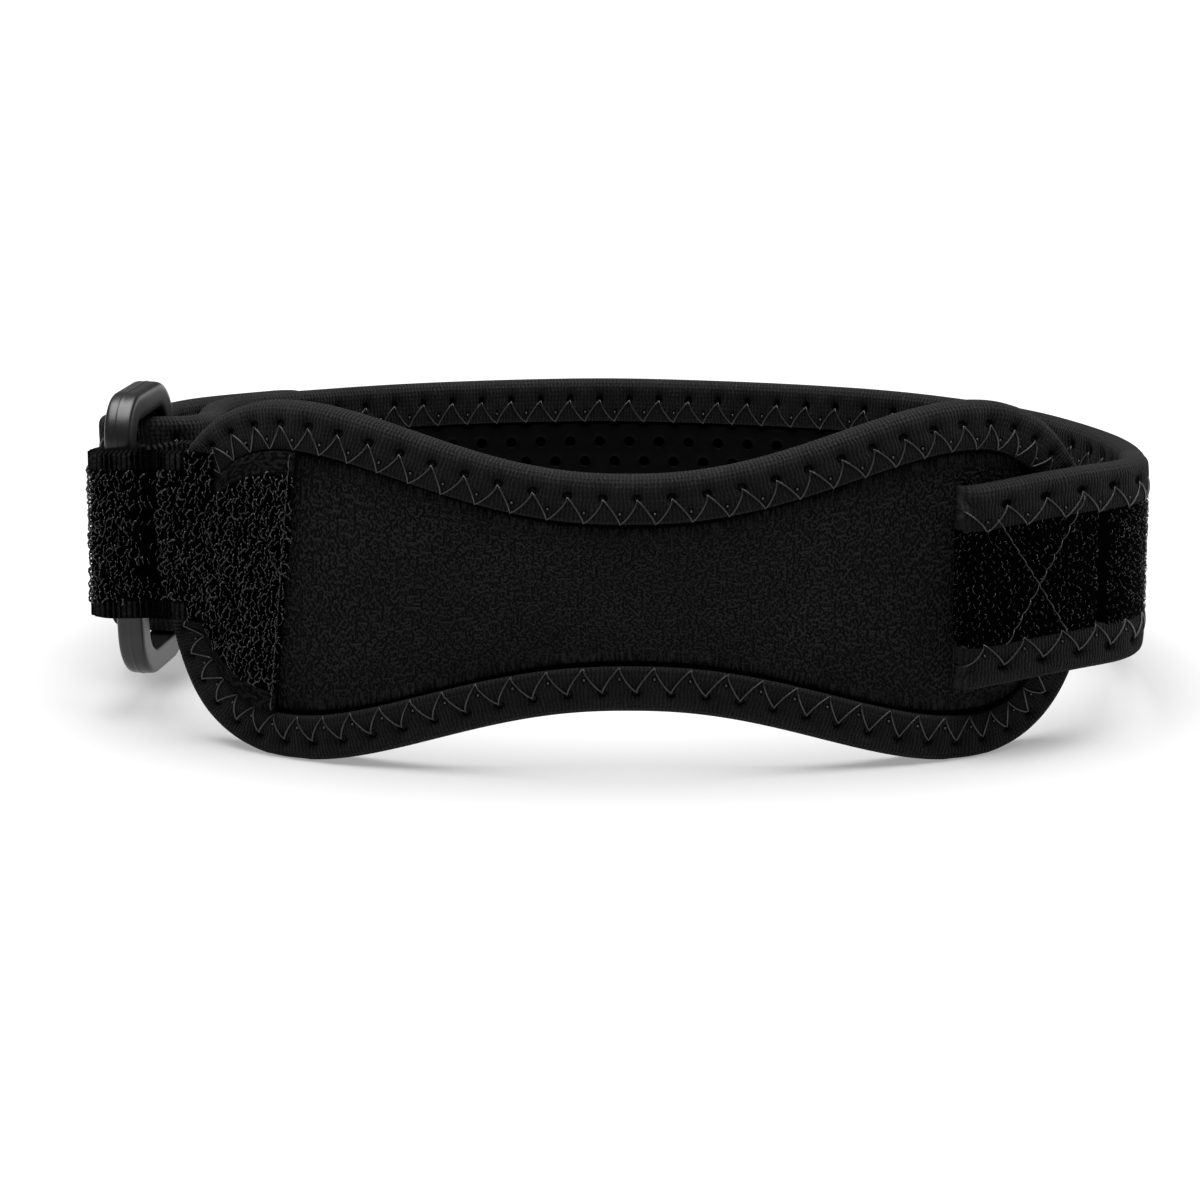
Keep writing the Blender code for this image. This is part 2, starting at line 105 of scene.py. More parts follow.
# %% The loop's own coordinates
MM = 0.001
LOOP_WIDTH, LOOP_DEPTH, LOOP_SQUARENESS = 173.0, 93.8, 2.2
PAD_THICKNESS, PAD_HALF_LENGTH = 6.0, 80.3
# how the CAD model came to rest on the floor, in full, so that the pieces below fit it
LEAN = math.radians(5.469151172301282)
FLOOR_BELOW = -31.196754937779588
MIDDLE_X, MIDDLE_Y = -0.707574188709259, 51.90460736428588
SIDE_LEAN = math.tan(math.radians(2.4))
SIDE_LEAN_FROM, SIDE_LEAN_WHOLE = 0.41 * LOOP_WIDTH, 0.475 * LOOP_WIDTH


def plan_curve():
    turn = np.linspace(-math.pi / 2, 3 * math.pi / 2, 4001)
    power = 2.0 / LOOP_SQUARENESS
    across = np.sign(np.cos(turn)) * np.abs(np.cos(turn)) ** power * LOOP_WIDTH / 2
    deep = np.sign(np.sin(turn)) * np.abs(np.sin(turn)) ** power * LOOP_DEPTH / 2
    points = np.stack([across, deep + LOOP_DEPTH / 2 + PAD_THICKNESS], axis=1)
    return points, np.concatenate([[0.0], np.cumsum(np.hypot(*np.diff(points, axis=0).T))])


CURVE, CURVE_LENGTH = plan_curve()
LOOP_LENGTH = float(CURVE_LENGTH[-1])


def ease(share):
    share = np.clip(share, 0.0, 1.0)
    return share * share * (3 - 2 * share)


def on_loop(along, out):
    """Plan positions at lengths round the loop and distances out from it."""
    along, out = np.broadcast_arrays(np.asarray(along, float), np.asarray(out, float))

    def at(length):
        return np.stack([np.interp(length % LOOP_LENGTH, CURVE_LENGTH, axis) for axis in CURVE.T], axis=-1)

    step = LOOP_LENGTH / 400
    way = at(along + step) - at(along - step)
    way = way / np.linalg.norm(way, axis=-1, keepdims=True)
    return at(along) + out[..., None] * np.stack([way[..., 1], -way[..., 0]], axis=-1)


def settled(plan, high):
    """Positions in metres in the part's frame, from plan positions and heights in millimetres."""
    plan, high = np.asarray(plan, float), np.asarray(high, float)
    share = (-plan[..., 0] - SIDE_LEAN_FROM) / (SIDE_LEAN_WHOLE - SIDE_LEAN_FROM)
    x = plan[..., 0] - SIDE_LEAN * high * ease(share)
    y = plan[..., 1] * math.cos(LEAN) + high * math.sin(LEAN)
    z = high * math.cos(LEAN) - plan[..., 1] * math.sin(LEAN) - FLOOR_BELOW
    return np.stack([x - MIDDLE_X, y - MIDDLE_Y, np.maximum(z, 0.0)], axis=-1) * MM


print("the loop is", round(LOOP_LENGTH, 1), "mm round")

# %% [markdown]
# A few small tools serve the whole script. One turns rows of points into a smooth mesh that carries its
# own millimetre map, so a weave can follow the cloth. One adds a node with its settings and links, and
# every node of every tree is added by it. One grows an object through a Geometry Nodes tree and keeps the
# plain mesh that comes out.

# %% Tools for meshes and nodes
def length_along(points, closed=False):
    """Running length of a line, with one more value for a closed line's last step."""
    points = np.asarray(points, float)
    if closed:
        points = np.concatenate([points, points[:1]])
    return np.concatenate([[0.0], np.cumsum(np.linalg.norm(np.diff(points, axis=0), axis=-1))])


def evenly(points, count, closed=False):
    points = np.asarray(points, float)
    length = length_along(points, closed)
    if closed:
        points = np.concatenate([points, points[:1]])
    wanted = np.linspace(0, length[-1], count, endpoint=not closed)
    return np.stack([np.interp(wanted, length, axis) for axis in points.T], axis=1)


def normals_of(line, closed=False):
    way = np.roll(line, -1, axis=0) - np.roll(line, 1, axis=0) if closed else np.gradient(line, axis=0)
    way = way / np.linalg.norm(way, axis=1, keepdims=True)
    return np.stack([way[:, 1], -way[:, 0]], axis=1)


def unit(vectors):
    return vectors / np.linalg.norm(vectors, axis=-1, keepdims=True)


def new_piece(name, mesh):
    piece = bpy.data.objects.new(name, mesh)
    bpy.context.scene.collection.objects.link(piece)
    return piece


def carry(mesh, label, values):
    """Writes a number or an arrow for each point of a mesh under a name, for trees and shaders to read."""
    kind, field = ("FLOAT", "value") if values.ndim == 1 else ("FLOAT_VECTOR", "vector")
    mesh.attributes.new(label, kind, "POINT").data.foreach_set(field, values.astype(np.float32).ravel())


def woven_mesh(name, rows, along, across, material, rows_closed=False, columns_closed=False,
               capped=False, along_place=None, across_place=None, pile=0.0, shade=0.0, pit=0.0):
    """A mesh through rows of points. along and across are millimetres for the map of the cloth."""
    rows = np.asarray(rows, float)
    count, wide = rows.shape[:2]
    row = np.arange(count if rows_closed else count - 1)[:, None]
    column = np.arange(wide if columns_closed else wide - 1)[None, :]
    next_row, next_column = (row + 1) % count, (column + 1) % wide
    quads = np.stack([row * wide + column, row * wide + next_column,
                      next_row * wide + next_column, next_row * wide + column], axis=-1).reshape(-1, 4)
    corners = np.stack([np.stack(np.broadcast_arrays(along[row + down], across[column + aside]), -1)
                        for down, aside in ((0, 0), (0, 1), (1, 1), (1, 0))], axis=2)
    faces = [list(quad) for quad in quads]
    places = [corners.reshape(-1, 2)]
    if capped:
        first, last = list(range(wide)), list(range((count - 1) * wide, count * wide))
        faces += [first[::-1], last]
        places += [np.stack([np.full(wide, along[0]), across[:wide][::-1]], -1),
                   np.stack([np.full(wide, along[count - 1]), across[:wide]], -1)]
    mesh = bpy.data.meshes.new(name)
    mesh.from_pydata(rows.reshape(-1, 3).tolist(), [], faces)
    cloth_map = mesh.uv_layers.new(name="cloth_mm")
    cloth_map.data.foreach_set("uv", np.concatenate(places).astype(np.float32).ravel())
    along_place = along[:count] if along_place is None else along_place
    across_place = across[:wide] if across_place is None else across_place
    for label, values in (("along", along_place[:, None]), ("across", across_place),
                          ("pile", pile), ("shade", shade), ("pit", pit)):
        carry(mesh, label, np.broadcast_to(values, (count, wide)).ravel())
    mesh.polygons.foreach_set("use_smooth", [True] * len(mesh.polygons))
    mesh.materials.append(material)
    point_outwards(mesh)
    return new_piece(name, mesh)


def point_outwards(mesh):
    """Turns a closed mesh's faces the right way by its volume, and leaves its map alone."""
    mesh.calc_loop_triangles()
    place = np.empty(len(mesh.vertices) * 3)
    mesh.vertices.foreach_get("co", place)
    corner = np.empty(len(mesh.loop_triangles) * 3, dtype=np.int32)
    mesh.loop_triangles.foreach_get("vertices", corner)
    a, b, c = place.reshape(-1, 3)[corner.reshape(-1, 3)].transpose(1, 0, 2)
    if np.einsum("ij,ij->i", a, np.cross(b, c)).sum() < 0:
        mesh.flip_normals()


def add(tree, kind, inputs=(), output=0, **settings):
    """Adds one node with its settings, links or sets its inputs, and gives back one of its outputs."""
    node = tree.nodes.new(kind)
    for label, value in settings.items():
        setattr(node, label, value)
    for key, value in inputs.items() if isinstance(inputs, dict) else enumerate(inputs):
        if isinstance(value, bpy.types.NodeSocket):
            tree.links.new(value, node.inputs[key])
        else:
            node.inputs[key].default_value = value
    return node.outputs[output] if len(node.outputs) else None


MATH, VECTOR_MATH, MAP_RANGE = "ShaderNodeMath", "ShaderNodeVectorMath", "ShaderNodeMapRange"


def new_tree(name, **sizes):
    """A Geometry Nodes tree with a geometry input and named sizes, each with its usual value."""
    tree = bpy.data.node_groups.new(name, "GeometryNodeTree")
    tree.interface.new_socket("Geometry", in_out="INPUT", socket_type="NodeSocketGeometry")
    for label, usual in sizes.items():
        kind = {float: "NodeSocketFloat", int: "NodeSocketInt"}.get(type(usual), "NodeSocketMaterial")
        socket = tree.interface.new_socket(label.replace("_", " "), in_out="INPUT", socket_type=kind)
        socket.default_value = usual
    tree.interface.new_socket("Geometry", in_out="OUTPUT", socket_type="NodeSocketGeometry")
    return tree, tree.nodes.new("NodeGroupInput").outputs


def end_tree(tree, given, geometry, ground=None):
    """Every tree ends alike: plain geometry, smooth, in its material, and joined to what it stands on."""
    geometry = add(tree, "GeometryNodeRealizeInstances", (geometry,))
    geometry = add(tree, "GeometryNodeSetShadeSmooth", (geometry,))
    geometry = add(tree, "GeometryNodeSetMaterial", {"Geometry": geometry, "Material": given["Material"]})
    if ground is not None:
        geometry = add(tree, "GeometryNodeJoinGeometry", (geometry,))
        tree.links.new(ground, geometry.node.inputs[0])
    add(tree, "NodeGroupOutput", (geometry,))
    return tree


def grown(piece, tree, **sizes):
    """Grows an object through a tree and keeps the result as a plain mesh."""
    modifier = piece.modifiers.new("grow", "NODES")
    modifier.node_group = tree
    wanted = {label.replace("_", " "): value for label, value in sizes.items()}
    for item in tree.interface.items_tree:
        if item.in_out == "INPUT" and item.name in wanted:
            modifier[item.identifier] = wanted.pop(item.name)
    assert not wanted, wanted
    graph = bpy.context.evaluated_depsgraph_get()
    mesh = bpy.data.meshes.new_from_object(piece.evaluated_get(graph), depsgraph=graph)
    piece.modifiers.remove(modifier)
    piece.data = mesh


def finish_piece(piece, slot, *nodes):
    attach(piece, "root")
    if nodes:
        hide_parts(*nodes)
    piece.data.calc_loop_triangles()
    print(piece.name, len(piece.data.loop_triangles), "triangles")


# %% [markdown]
# Black cloth isn't one black. Each material below starts from what the real one is and how it was made.
# The colours are written as sRGB hex and turned to linear light by one function, and each pattern's
# scale comes from a size in millimetres on the real thing.

# %% Colour and shader tools
def linear(hex_colour):
    channels = [int(hex_colour[start:start + 2], 16) / 255 for start in (1, 3, 5)]
    return (*[c / 12.92 if c <= 0.04045 else ((c + 0.055) / 1.055) ** 2.4 for c in channels], 1.0)


def new_material(name, roughness, specular, sheen=0.0):
    material = bpy.data.materials.new(name)
    material.use_nodes = True
    shader = material.node_tree.nodes["Principled BSDF"]
    shader.inputs["Roughness"].default_value = roughness
    shader.inputs["Specular IOR Level"].default_value = specular
    shader.inputs["Sheen Weight"].default_value = sheen
    shader.inputs["Sheen Roughness"].default_value = 0.4
    return material, material.node_tree, shader


NOISE, ATTRIBUTE = "ShaderNodeTexNoise", "ShaderNodeAttribute"


def two_tone(tree, shader, causes, dark, light):
    """Colours the shader between two tones, by all the causes multiplied together."""
    factor = causes[0]
    for cause in causes[1:]:
        factor = add(tree, MATH, (factor, cause), operation="MULTIPLY")
    mix = add(tree, "ShaderNodeMix", {0: factor, 6: linear(dark), 7: linear(light)}, 2, data_type="RGBA")
    tree.links.new(mix, shader.inputs["Base Color"])


def raised(tree, shader, height, distance, strength=1.0):
    """distance is the relief's depth in metres."""
    bump = add(tree, "ShaderNodeBump", {"Strength": strength, "Distance": distance, "Height": height})
    tree.links.new(bump, shader.inputs["Normal"])


def wave(tree, value, period):
    """Rises and falls between 1 and -1 once in each period."""
    turn = add(tree, MATH, (value, 2 * math.pi / period), operation="MULTIPLY")
    return add(tree, MATH, (turn,), operation="SINE")


def outside_pits(tree, edge=0.28, bottom=0.52):
    """One on the cloth and nothing down in the pits, holes and creases, with a firm edge between them: the
    shade there is painted.
    """
    pit = add(tree, ATTRIBUTE, output="Fac", attribute_name="pit")
    return add(tree, MAP_RANGE, (pit, edge, bottom, 1.0, 0.0), interpolation_type="SMOOTHSTEP")


def in_the_light(tree):
    """Less than one down in a bend, where the pile closes over itself."""
    shade = add(tree, ATTRIBUTE, output="Fac", attribute_name="shade")
    return add(tree, MATH, (1.0, shade), operation="SUBTRACT")


# %% [markdown]
# The edge band is a ribbed knit, folded over the foam's edge and pulled tight by the zigzag seam. Its
# ribs are about 0.6 mm apart and run across the band. Where the needle went in the knit is drawn down
# into small pits, which the mesh carries as an attribute, so the shader can paint shade into them.

# %% Ribbed polyester knit
RIB_SPACING, BEAD_SPACING = 0.62, 0.8


def ribbed_knit():
    # knitted and brushed: matt, with light only on the crests of the ribs
    material, tree, shader = new_material("ribbed_polyester_knit", 0.9, 0.05, 0.02)
    place = add(tree, "ShaderNodeUVMap", uv_map="cloth_mm")
    along, across = (add(tree, "ShaderNodeSeparateXYZ", (place,), axis) for axis in "XY")
    wander = add(tree, NOISE, {"Vector": place, "Scale": 0.5, "Detail": 3.0})
    shifted = add(tree, MATH, (wander, 1.1, along), operation="MULTIPLY_ADD")
    crest = add(tree, MATH, (wave(tree, shifted, RIB_SPACING), 0.5, 0.5), operation="MULTIPLY_ADD")
    # the stitches of the knit break each rib into short beads
    height = add(tree, MATH, (wave(tree, across, BEAD_SPACING), 0.12, crest), operation="MULTIPLY_ADD")
    fuzz = add(tree, NOISE, {"Vector": place, "Scale": 3.0, "Detail": 3.0})
    raised(tree, shader, add(tree, MATH, (fuzz, 0.5, height), operation="MULTIPLY_ADD"), 0.00033)
    ribs = add(tree, MATH, (crest, 0.4, -0.1), operation="MULTIPLY_ADD")
    ribs = add(tree, MATH, (fuzz, 0.9, ribs), operation="MULTIPLY_ADD")
    patches = add(tree, NOISE, {"Vector": place, "Scale": 0.12, "Detail": 2.0})
    patches = add(tree, MATH, (patches, 0.8, 0.5), operation="MULTIPLY_ADD")
    # a painted highlight on the fold at the band's edge, where the light from above falls: paler there, and
    # speckled by noise
    depth = add(tree, ATTRIBUTE, output="Fac", attribute_name="across")
    on_fold = add(tree, MAP_RANGE, (depth, 0.4, 3.0, 1.0, 0.0))
    speckle = add(tree, NOISE, {"Vector": place, "Scale": 1.7, "Detail": 3.0})
    fold_highlight = add(tree, MATH, (on_fold, speckle), operation="MULTIPLY")
    fold_highlight = add(tree, MATH, (fold_highlight, 1.3, 0.95), operation="MULTIPLY_ADD")
    # the pits are painted dark, as painted shade
    two_tone(tree, shader, (ribs, patches, fold_highlight, outside_pits(tree)), "#010101", "#252526")
    return material


KNIT = ribbed_knit()
print("a rib every", RIB_SPACING, "mm")

# %% [markdown]
# The pad's face is a thin coated cloth, embossed with a fine grain of worm-like wrinkles half a millimetre
# apart. Contour lines of a smooth noise give just such a maze: the sine of the noise rises and falls at
# even steps. Next to the band the seam stretches the cloth, and the wrinkles there run towards it.

# %% Grained polyurethane-coated cloth
def wrinkles(tree, place, scale):
    """Worm-like wrinkles from 0 in the valleys to 1 on the crests."""
    hills = add(tree, NOISE, {"Vector": place, "Scale": scale, "Detail": 0.0})
    return add(tree, MATH, (wave(tree, hills, 0.5), 0.5, 0.5), operation="MULTIPLY_ADD")


def grained_face():
    # coated and embossed: a little smoother than the knit, so it keeps a soft broad light
    material, tree, shader = new_material("grained_polyurethane_cloth", 0.65, 0.06)
    place = add(tree, "ShaderNodeUVMap", uv_map="cloth_mm")
    drawn = add(tree, VECTOR_MATH, (place, (1.7, 0.32, 1.0)), operation="MULTIPLY")
    by_band = add(tree, ATTRIBUTE, output="Fac", attribute_name="by_band")
    maze = add(tree, "ShaderNodeMix",
               {0: by_band, 2: wrinkles(tree, place, 2.05), 3: wrinkles(tree, drawn, 1.3)})
    fine = add(tree, NOISE, {"Vector": place, "Scale": 4.0, "Detail": 2.0})
    raised(tree, shader, add(tree, MATH, (fine, 0.3, maze), operation="MULTIPLY_ADD"), 0.0003)
    # painted light: the crests of the wrinkles are coloured paler than their valleys
    crests = add(tree, MATH, (maze, 1.1, -0.12), operation="MULTIPLY_ADD")
    broad = add(tree, NOISE, {"Vector": place, "Scale": 0.05, "Detail": 3.0})
    broad = add(tree, MATH, (broad, 0.9, 0.4), operation="MULTIPLY_ADD")
    # the pit mark here is the crease along the band's lip, painted dark as painted shade
    two_tone(tree, shader, (crests, broad, outside_pits(tree)), "#010101", "#212121")
    return material


GRAIN = grained_face()

# %% [markdown]
# The wide strap is lined with smooth neoprene, punched with rows of holes so that the skin can breathe.
# Loop pile covers its outside. Nylon loops are glossy, so they glint as small bright arcs over a base
# that stays almost black.

# %% Neoprene, loop pile, thread and plastic
def skin_neoprene():
    # moulded foam skin: smooth and a little greasy in the light, with painted shade making it black down in
    # the punched holes
    material, tree, shader = new_material("skin_neoprene", 0.5, 0.04)
    place = add(tree, "ShaderNodeUVMap", uv_map="cloth_mm")
    clouds = add(tree, NOISE, {"Vector": place, "Scale": 0.5, "Detail": 4.0})
    raised(tree, shader, clouds, 0.0002, 0.35)
    clouds = add(tree, MATH, (clouds, 0.9, 0.1), operation="MULTIPLY_ADD")
    # no light comes back out of a hole, so the skin's gloss ends at its edge
    skin = outside_pits(tree, 0.10, 0.26)
    gloss = add(tree, MATH, (skin, 0.04), operation="MULTIPLY")
    tree.links.new(gloss, shader.inputs["Specular IOR Level"])
    two_tone(tree, shader, (clouds, skin), "#000000", "#080808")
    return material


def pile_ground(name, lump, ribbing, wrinkling):
    # the knitted ground under the loops: matt and nearly black, and a paler ribbed weave where none stand
    material, tree, shader = new_material(name, 0.95, 0.01)
    place = add(tree, "ShaderNodeUVMap", uv_map="cloth_mm")
    lumps = add(tree, "ShaderNodeTexVoronoi", {"Vector": place, "Scale": 1.0 / lump}, "Distance")
    grain = wrinkles(tree, place, 1.3)
    raised(tree, shader, add(tree, MATH, (grain, wrinkling, lumps), operation="MULTIPLY_ADD"), 0.0004, 0.8)
    loops = add(tree, ATTRIBUTE, output="Fac", attribute_name="pile")
    bare = add(tree, MAP_RANGE, (loops, 0.0, 0.5, 1.0, 0.03))
    ribs = wave(tree, add(tree, "ShaderNodeSeparateXYZ", (place,)), 0.95)
    ribs = add(tree, MATH, (ribs, ribbing, 0.12), operation="MULTIPLY_ADD")
    weave = add(tree, MATH, (grain, 0.45 * wrinkling, ribs), operation="MULTIPLY_ADD")
    two_tone(tree, shader, (weave, bare, in_the_light(tree)), "#010101", "#262626")
    return material


def glossy_yarn(name, dark, light, roughness, specular):
    # drawn nylon: round and shiny, and each loop catches a little more or less light than the next
    material, tree, shader = new_material(name, roughness, specular)
    place = add(tree, "ShaderNodeTexCoord", output="Object")
    loops = add(tree, NOISE, {"Vector": place, "Scale": 900.0, "Detail": 2.0})
    two_tone(tree, shader, (loops, in_the_light(tree)), dark, light)
    raised(tree, shader, add(tree, NOISE, {"Vector": place, "Scale": 6000.0, "Detail": 1.0}), 0.00003, 0.5)
    return material


def satin_plastic():
    # moulded acetal: evenly satin from a blasted mould, with a faint clouding and no grain
    material, tree, shader = new_material("moulded_acetal", 0.34, 0.50)
    place = add(tree, "ShaderNodeTexCoord", output="Object")
    clouds = add(tree, NOISE, {"Vector": place, "Scale": 160.0, "Detail": 3.0})
    two_tone(tree, shader, (clouds,), "#0a0a0b", "#101011")
    raised(tree, shader, add(tree, NOISE, {"Vector": place, "Scale": 5000.0, "Detail": 2.0}), 0.00002, 0.35)
    return material


NEOPRENE = skin_neoprene()
PILE_GROUND = pile_ground("knitted_pile_ground", 0.9, 0.4, 0.6)
PATCH_GROUND = pile_ground("brushed_patch_ground", 0.7, 0.0, 1.0)
NYLON_LOOPS = glossy_yarn("drawn_nylon_loops", "#000000", "#131313", 0.22, 0.48)
SEWING_THREAD = glossy_yarn("bonded_nylon_thread", "#0e0e0e", "#262627", 0.28, 0.55)
ACETAL = satin_plastic()
for finish in (NEOPRENE, PILE_GROUND, PATCH_GROUND, NYLON_LOOPS, SEWING_THREAD, ACETAL):
    print("material", finish.name)

# %% [markdown]
# Needle pits and punched holes are the same thing to a mesh: a grid of round places pressed inward. The
# tree below reads how far along and across the cloth each point is, finds the nearest place of the grid,
# and presses the point in by how close it is. It also writes that closeness down for the shader.

# %% The tree for pits and punched holes
NAMED = "GeometryNodeInputNamedAttribute"


def pressed_tree():
    tree, given = new_tree("pressed places", Spacing=5.0, First_place=0.0, First_row=0.0, Row_spacing=1.0,
                           Rows=1.0, Stagger=0.0, Radius=1.0, Depth=1.0, Pucker=0.0, Pucker_radius=1.0,
                           Material=None)
    along, across, before = (add(tree, NAMED, {"Name": label}, data_type="FLOAT")
                             for label in ("along", "across", "pit"))
    # the nearest row, and how far above it the point lies
    level = add(tree, MATH, (across, given["First row"]), operation="SUBTRACT")
    level = add(tree, MATH, (level, given["Row spacing"]), operation="DIVIDE")
    last = add(tree, MATH, (given["Rows"], 1.0), operation="SUBTRACT")
    row = add(tree, MATH, (level,), operation="ROUND")
    row = add(tree, MATH, (row, 0.0), operation="MAXIMUM")
    row = add(tree, MATH, (row, last), operation="MINIMUM")
    above = add(tree, MATH, (level, row), operation="SUBTRACT")
    above = add(tree, MATH, (above, given["Row spacing"]), operation="MULTIPLY")
    # the nearest place of that row, and how far beside it the point lies
    step = add(tree, MATH, (along, given["First place"]), operation="SUBTRACT")
    step = add(tree, MATH, (step, given["Spacing"]), operation="DIVIDE")
    odd = add(tree, MATH, (row, 2.0), operation="MODULO")
    step = add(tree, MATH, (odd, given["Stagger"], step), operation="MULTIPLY_ADD")
    beside = add(tree, MATH, (step, add(tree, MATH, (step,), operation="ROUND")), operation="SUBTRACT")
    beside = add(tree, MATH, (beside, given["Spacing"]), operation="MULTIPLY")
    away = add(tree, "ShaderNodeCombineXYZ", (beside, above))
    away = add(tree, VECTOR_MATH, (away,), "Value", operation="LENGTH")
    # a firm press at the place itself, and a wider, softer pucker round it
    close, pucker = (add(tree, MAP_RANGE, (away, 0.0, reach, 1.0, 0.0), interpolation_type="SMOOTHSTEP")
                     for reach in (given["Radius"], given["Pucker radius"]))
    depth = add(tree, MATH, (close, given["Depth"]), operation="MULTIPLY")
    depth = add(tree, MATH, (pucker, given["Pucker"], depth), operation="MULTIPLY_ADD")
    inward = add(tree, MATH, (depth, -MM), operation="MULTIPLY")
    normal = add(tree, "GeometryNodeInputNormal")
    inward = add(tree, VECTOR_MATH, {0: normal, "Scale": inward}, operation="SCALE")
    mark = add(tree, MATH, (before, close), operation="MAXIMUM")
    kept = add(tree, "GeometryNodeStoreNamedAttribute",
               {"Geometry": given["Geometry"], "Name": "pit", "Value": mark},
               data_type="FLOAT", domain="POINT")
    return end_tree(tree, given, add(tree, "GeometryNodeSetPosition", {"Geometry": kept, "Offset": inward}))


PRESSED = pressed_tree()
print(PRESSED.name, "has", len(PRESSED.nodes), "nodes")

# %% [markdown]
# A seam is a guide line on the cloth that the thread crosses from side to side. The guide carries two
# arrows at each point: one to the seam's edge and one straight out of the cloth. The tree walks along the
# guide, swings the thread between the two sides, and lets it dive under the surface at each needle hole.
# With no swing the same tree sews a running stitch.

# %% The tree for seams
def seam_tree():
    tree, given = new_tree("seam", Swing=1.0, Rise=0.4, Sink=0.1, Thread=0.1, Lean=0.0, Material=None)
    stitch = add(tree, NAMED, {"Name": "stitch"}, data_type="FLOAT")
    to_side, outward, forward = (add(tree, NAMED, {"Name": label}, data_type="FLOAT_VECTOR")
                                 for label in ("to_side", "outward", "forward"))
    # in each stitch the thread goes once from one side to the other and back
    phase = add(tree, MATH, (stitch,), operation="FRACT")
    side = add(tree, MATH, (phase, 2.0, -1.0), operation="MULTIPLY_ADD")
    side = add(tree, MATH, (side,), operation="ABSOLUTE")
    side = add(tree, MATH, (side, 2.0, -1.0), operation="MULTIPLY_ADD")
    swing = add(tree, MATH, (side, given["Swing"]), operation="MULTIPLY")
    # and each way it arches up from one hole and down into the next
    arch = add(tree, MATH, (wave(tree, phase, 1.0),), operation="ABSOLUTE")
    arch = add(tree, MATH, (arch, 0.6), operation="POWER")
    lift = add(tree, MATH, (arch, given["Rise"]), operation="MULTIPLY")
    lift = add(tree, MATH, (lift, given["Sink"]), operation="SUBTRACT")
    lift = add(tree, MATH, (lift, MM), operation="MULTIPLY")
    lean = add(tree, MATH, (arch, given["Lean"]), operation="MULTIPLY")
    lean = add(tree, MATH, (lean, MM), operation="MULTIPLY")
    offset = (0.0, 0.0, 0.0)
    for way, size in ((to_side, swing), (outward, lift), (forward, lean)):
        move = add(tree, VECTOR_MATH, {0: way, "Scale": size}, operation="SCALE")
        offset = add(tree, VECTOR_MATH, (move, offset), operation="ADD")
    line = add(tree, "GeometryNodeMeshToCurve", (given["Geometry"],))
    line = add(tree, "GeometryNodeSetPosition", {"Geometry": line, "Offset": offset})
    radius = add(tree, MATH, (given["Thread"], MM), operation="MULTIPLY")
    section = add(tree, "GeometryNodeCurvePrimitiveCircle", {"Resolution": 6, "Radius": radius})
    thread = add(tree, "GeometryNodeCurveToMesh",
                 {"Curve": line, "Profile Curve": section, "Fill Caps": True})
    return end_tree(tree, given, thread)


SEAM = seam_tree()
POINTS_A_STITCH = 16


def sew(name, edge_a, edge_b, outward, slot, closed=False, lean=0.0, **sizes):
    """A seam between two lines on the cloth, which are where the thread turns. Its guide has a fixed
    number of points to each stitch, so a stitch and the pit it pulls stay together all the way."""
    middle = (edge_a + edge_b) / 2
    count = len(middle)
    mesh = bpy.data.meshes.new(name)
    steps = range(count if closed else count - 1)
    mesh.from_pydata(middle.tolist(), [(step, (step + 1) % count) for step in steps], [])
    carry(mesh, "to_side", (edge_a - edge_b) / 2)
    carry(mesh, "outward", outward)
    carry(mesh, "forward", unit(np.roll(middle, -1, axis=0) - np.roll(middle, 1, axis=0)))
    carry(mesh, "stitch", np.arange(count) / POINTS_A_STITCH)
    piece = new_piece(name, mesh)
    usual = {"Swing": 1.0, "Rise": 0.42, "Sink": 0.16, "Thread": 0.145}
    grown(piece, SEAM, **{**usual, **sizes}, Lean=lean, Material=SEWING_THREAD)
    finish_piece(piece, slot)


print(SEAM.name, "has", len(SEAM.nodes), "nodes")

# %% [markdown]
# Above each foot of the zigzag the thread from the other side comes up in one tiny knot, which glints.
# The same small ball stands on every point of a row, so this tree only needs the row and a size.

# %% The tree for knots
def knot_tree():
    tree, given = new_tree("knots", Radius=0.2, Material=None)
    radius = add(tree, MATH, (given["Radius"], MM), operation="MULTIPLY")
    ball = add(tree, "GeometryNodeMeshIcoSphere", {"Radius": radius, "Subdivisions": 2})
    points = add(tree, "GeometryNodeMeshToPoints", (given["Geometry"],))
    knots = add(tree, "GeometryNodeInstanceOnPoints", {"Points": points, "Instance": ball})
    return end_tree(tree, given, knots)


KNOTS = knot_tree()


def tie(name, places):
    mesh = bpy.data.meshes.new(name)
    mesh.from_pydata(places.reshape(-1, 3).tolist(), [], [])
    piece = new_piece(name, mesh)
    grown(piece, KNOTS, Radius=0.24, Material=SEWING_THREAD)
    finish_piece(piece, "knit_band")


print(KNOTS.name, "has", len(KNOTS.nodes), "nodes")

# %% [markdown]
# A folded band is one closed section swept along an edge: a face in front, a round turn over the edge, a
# face behind, and the hidden inside of the fold. The front is a little crowned, since the seam holds it
# down at its inner lip and the foam pushes it up in between.

# %% The folded band's section
BAND_CROWN, CROWN_FROM, BAND_LIP = 0.30, 0.15, 0.5
SEAM_SPACING, PIT_DEPTH_IN, KNOT_ABOVE = 5.42, 3.7, 1.9
# stands in for the depth of a point inside the fold, where nothing is pressed in or worn
HIDDEN = -50.0


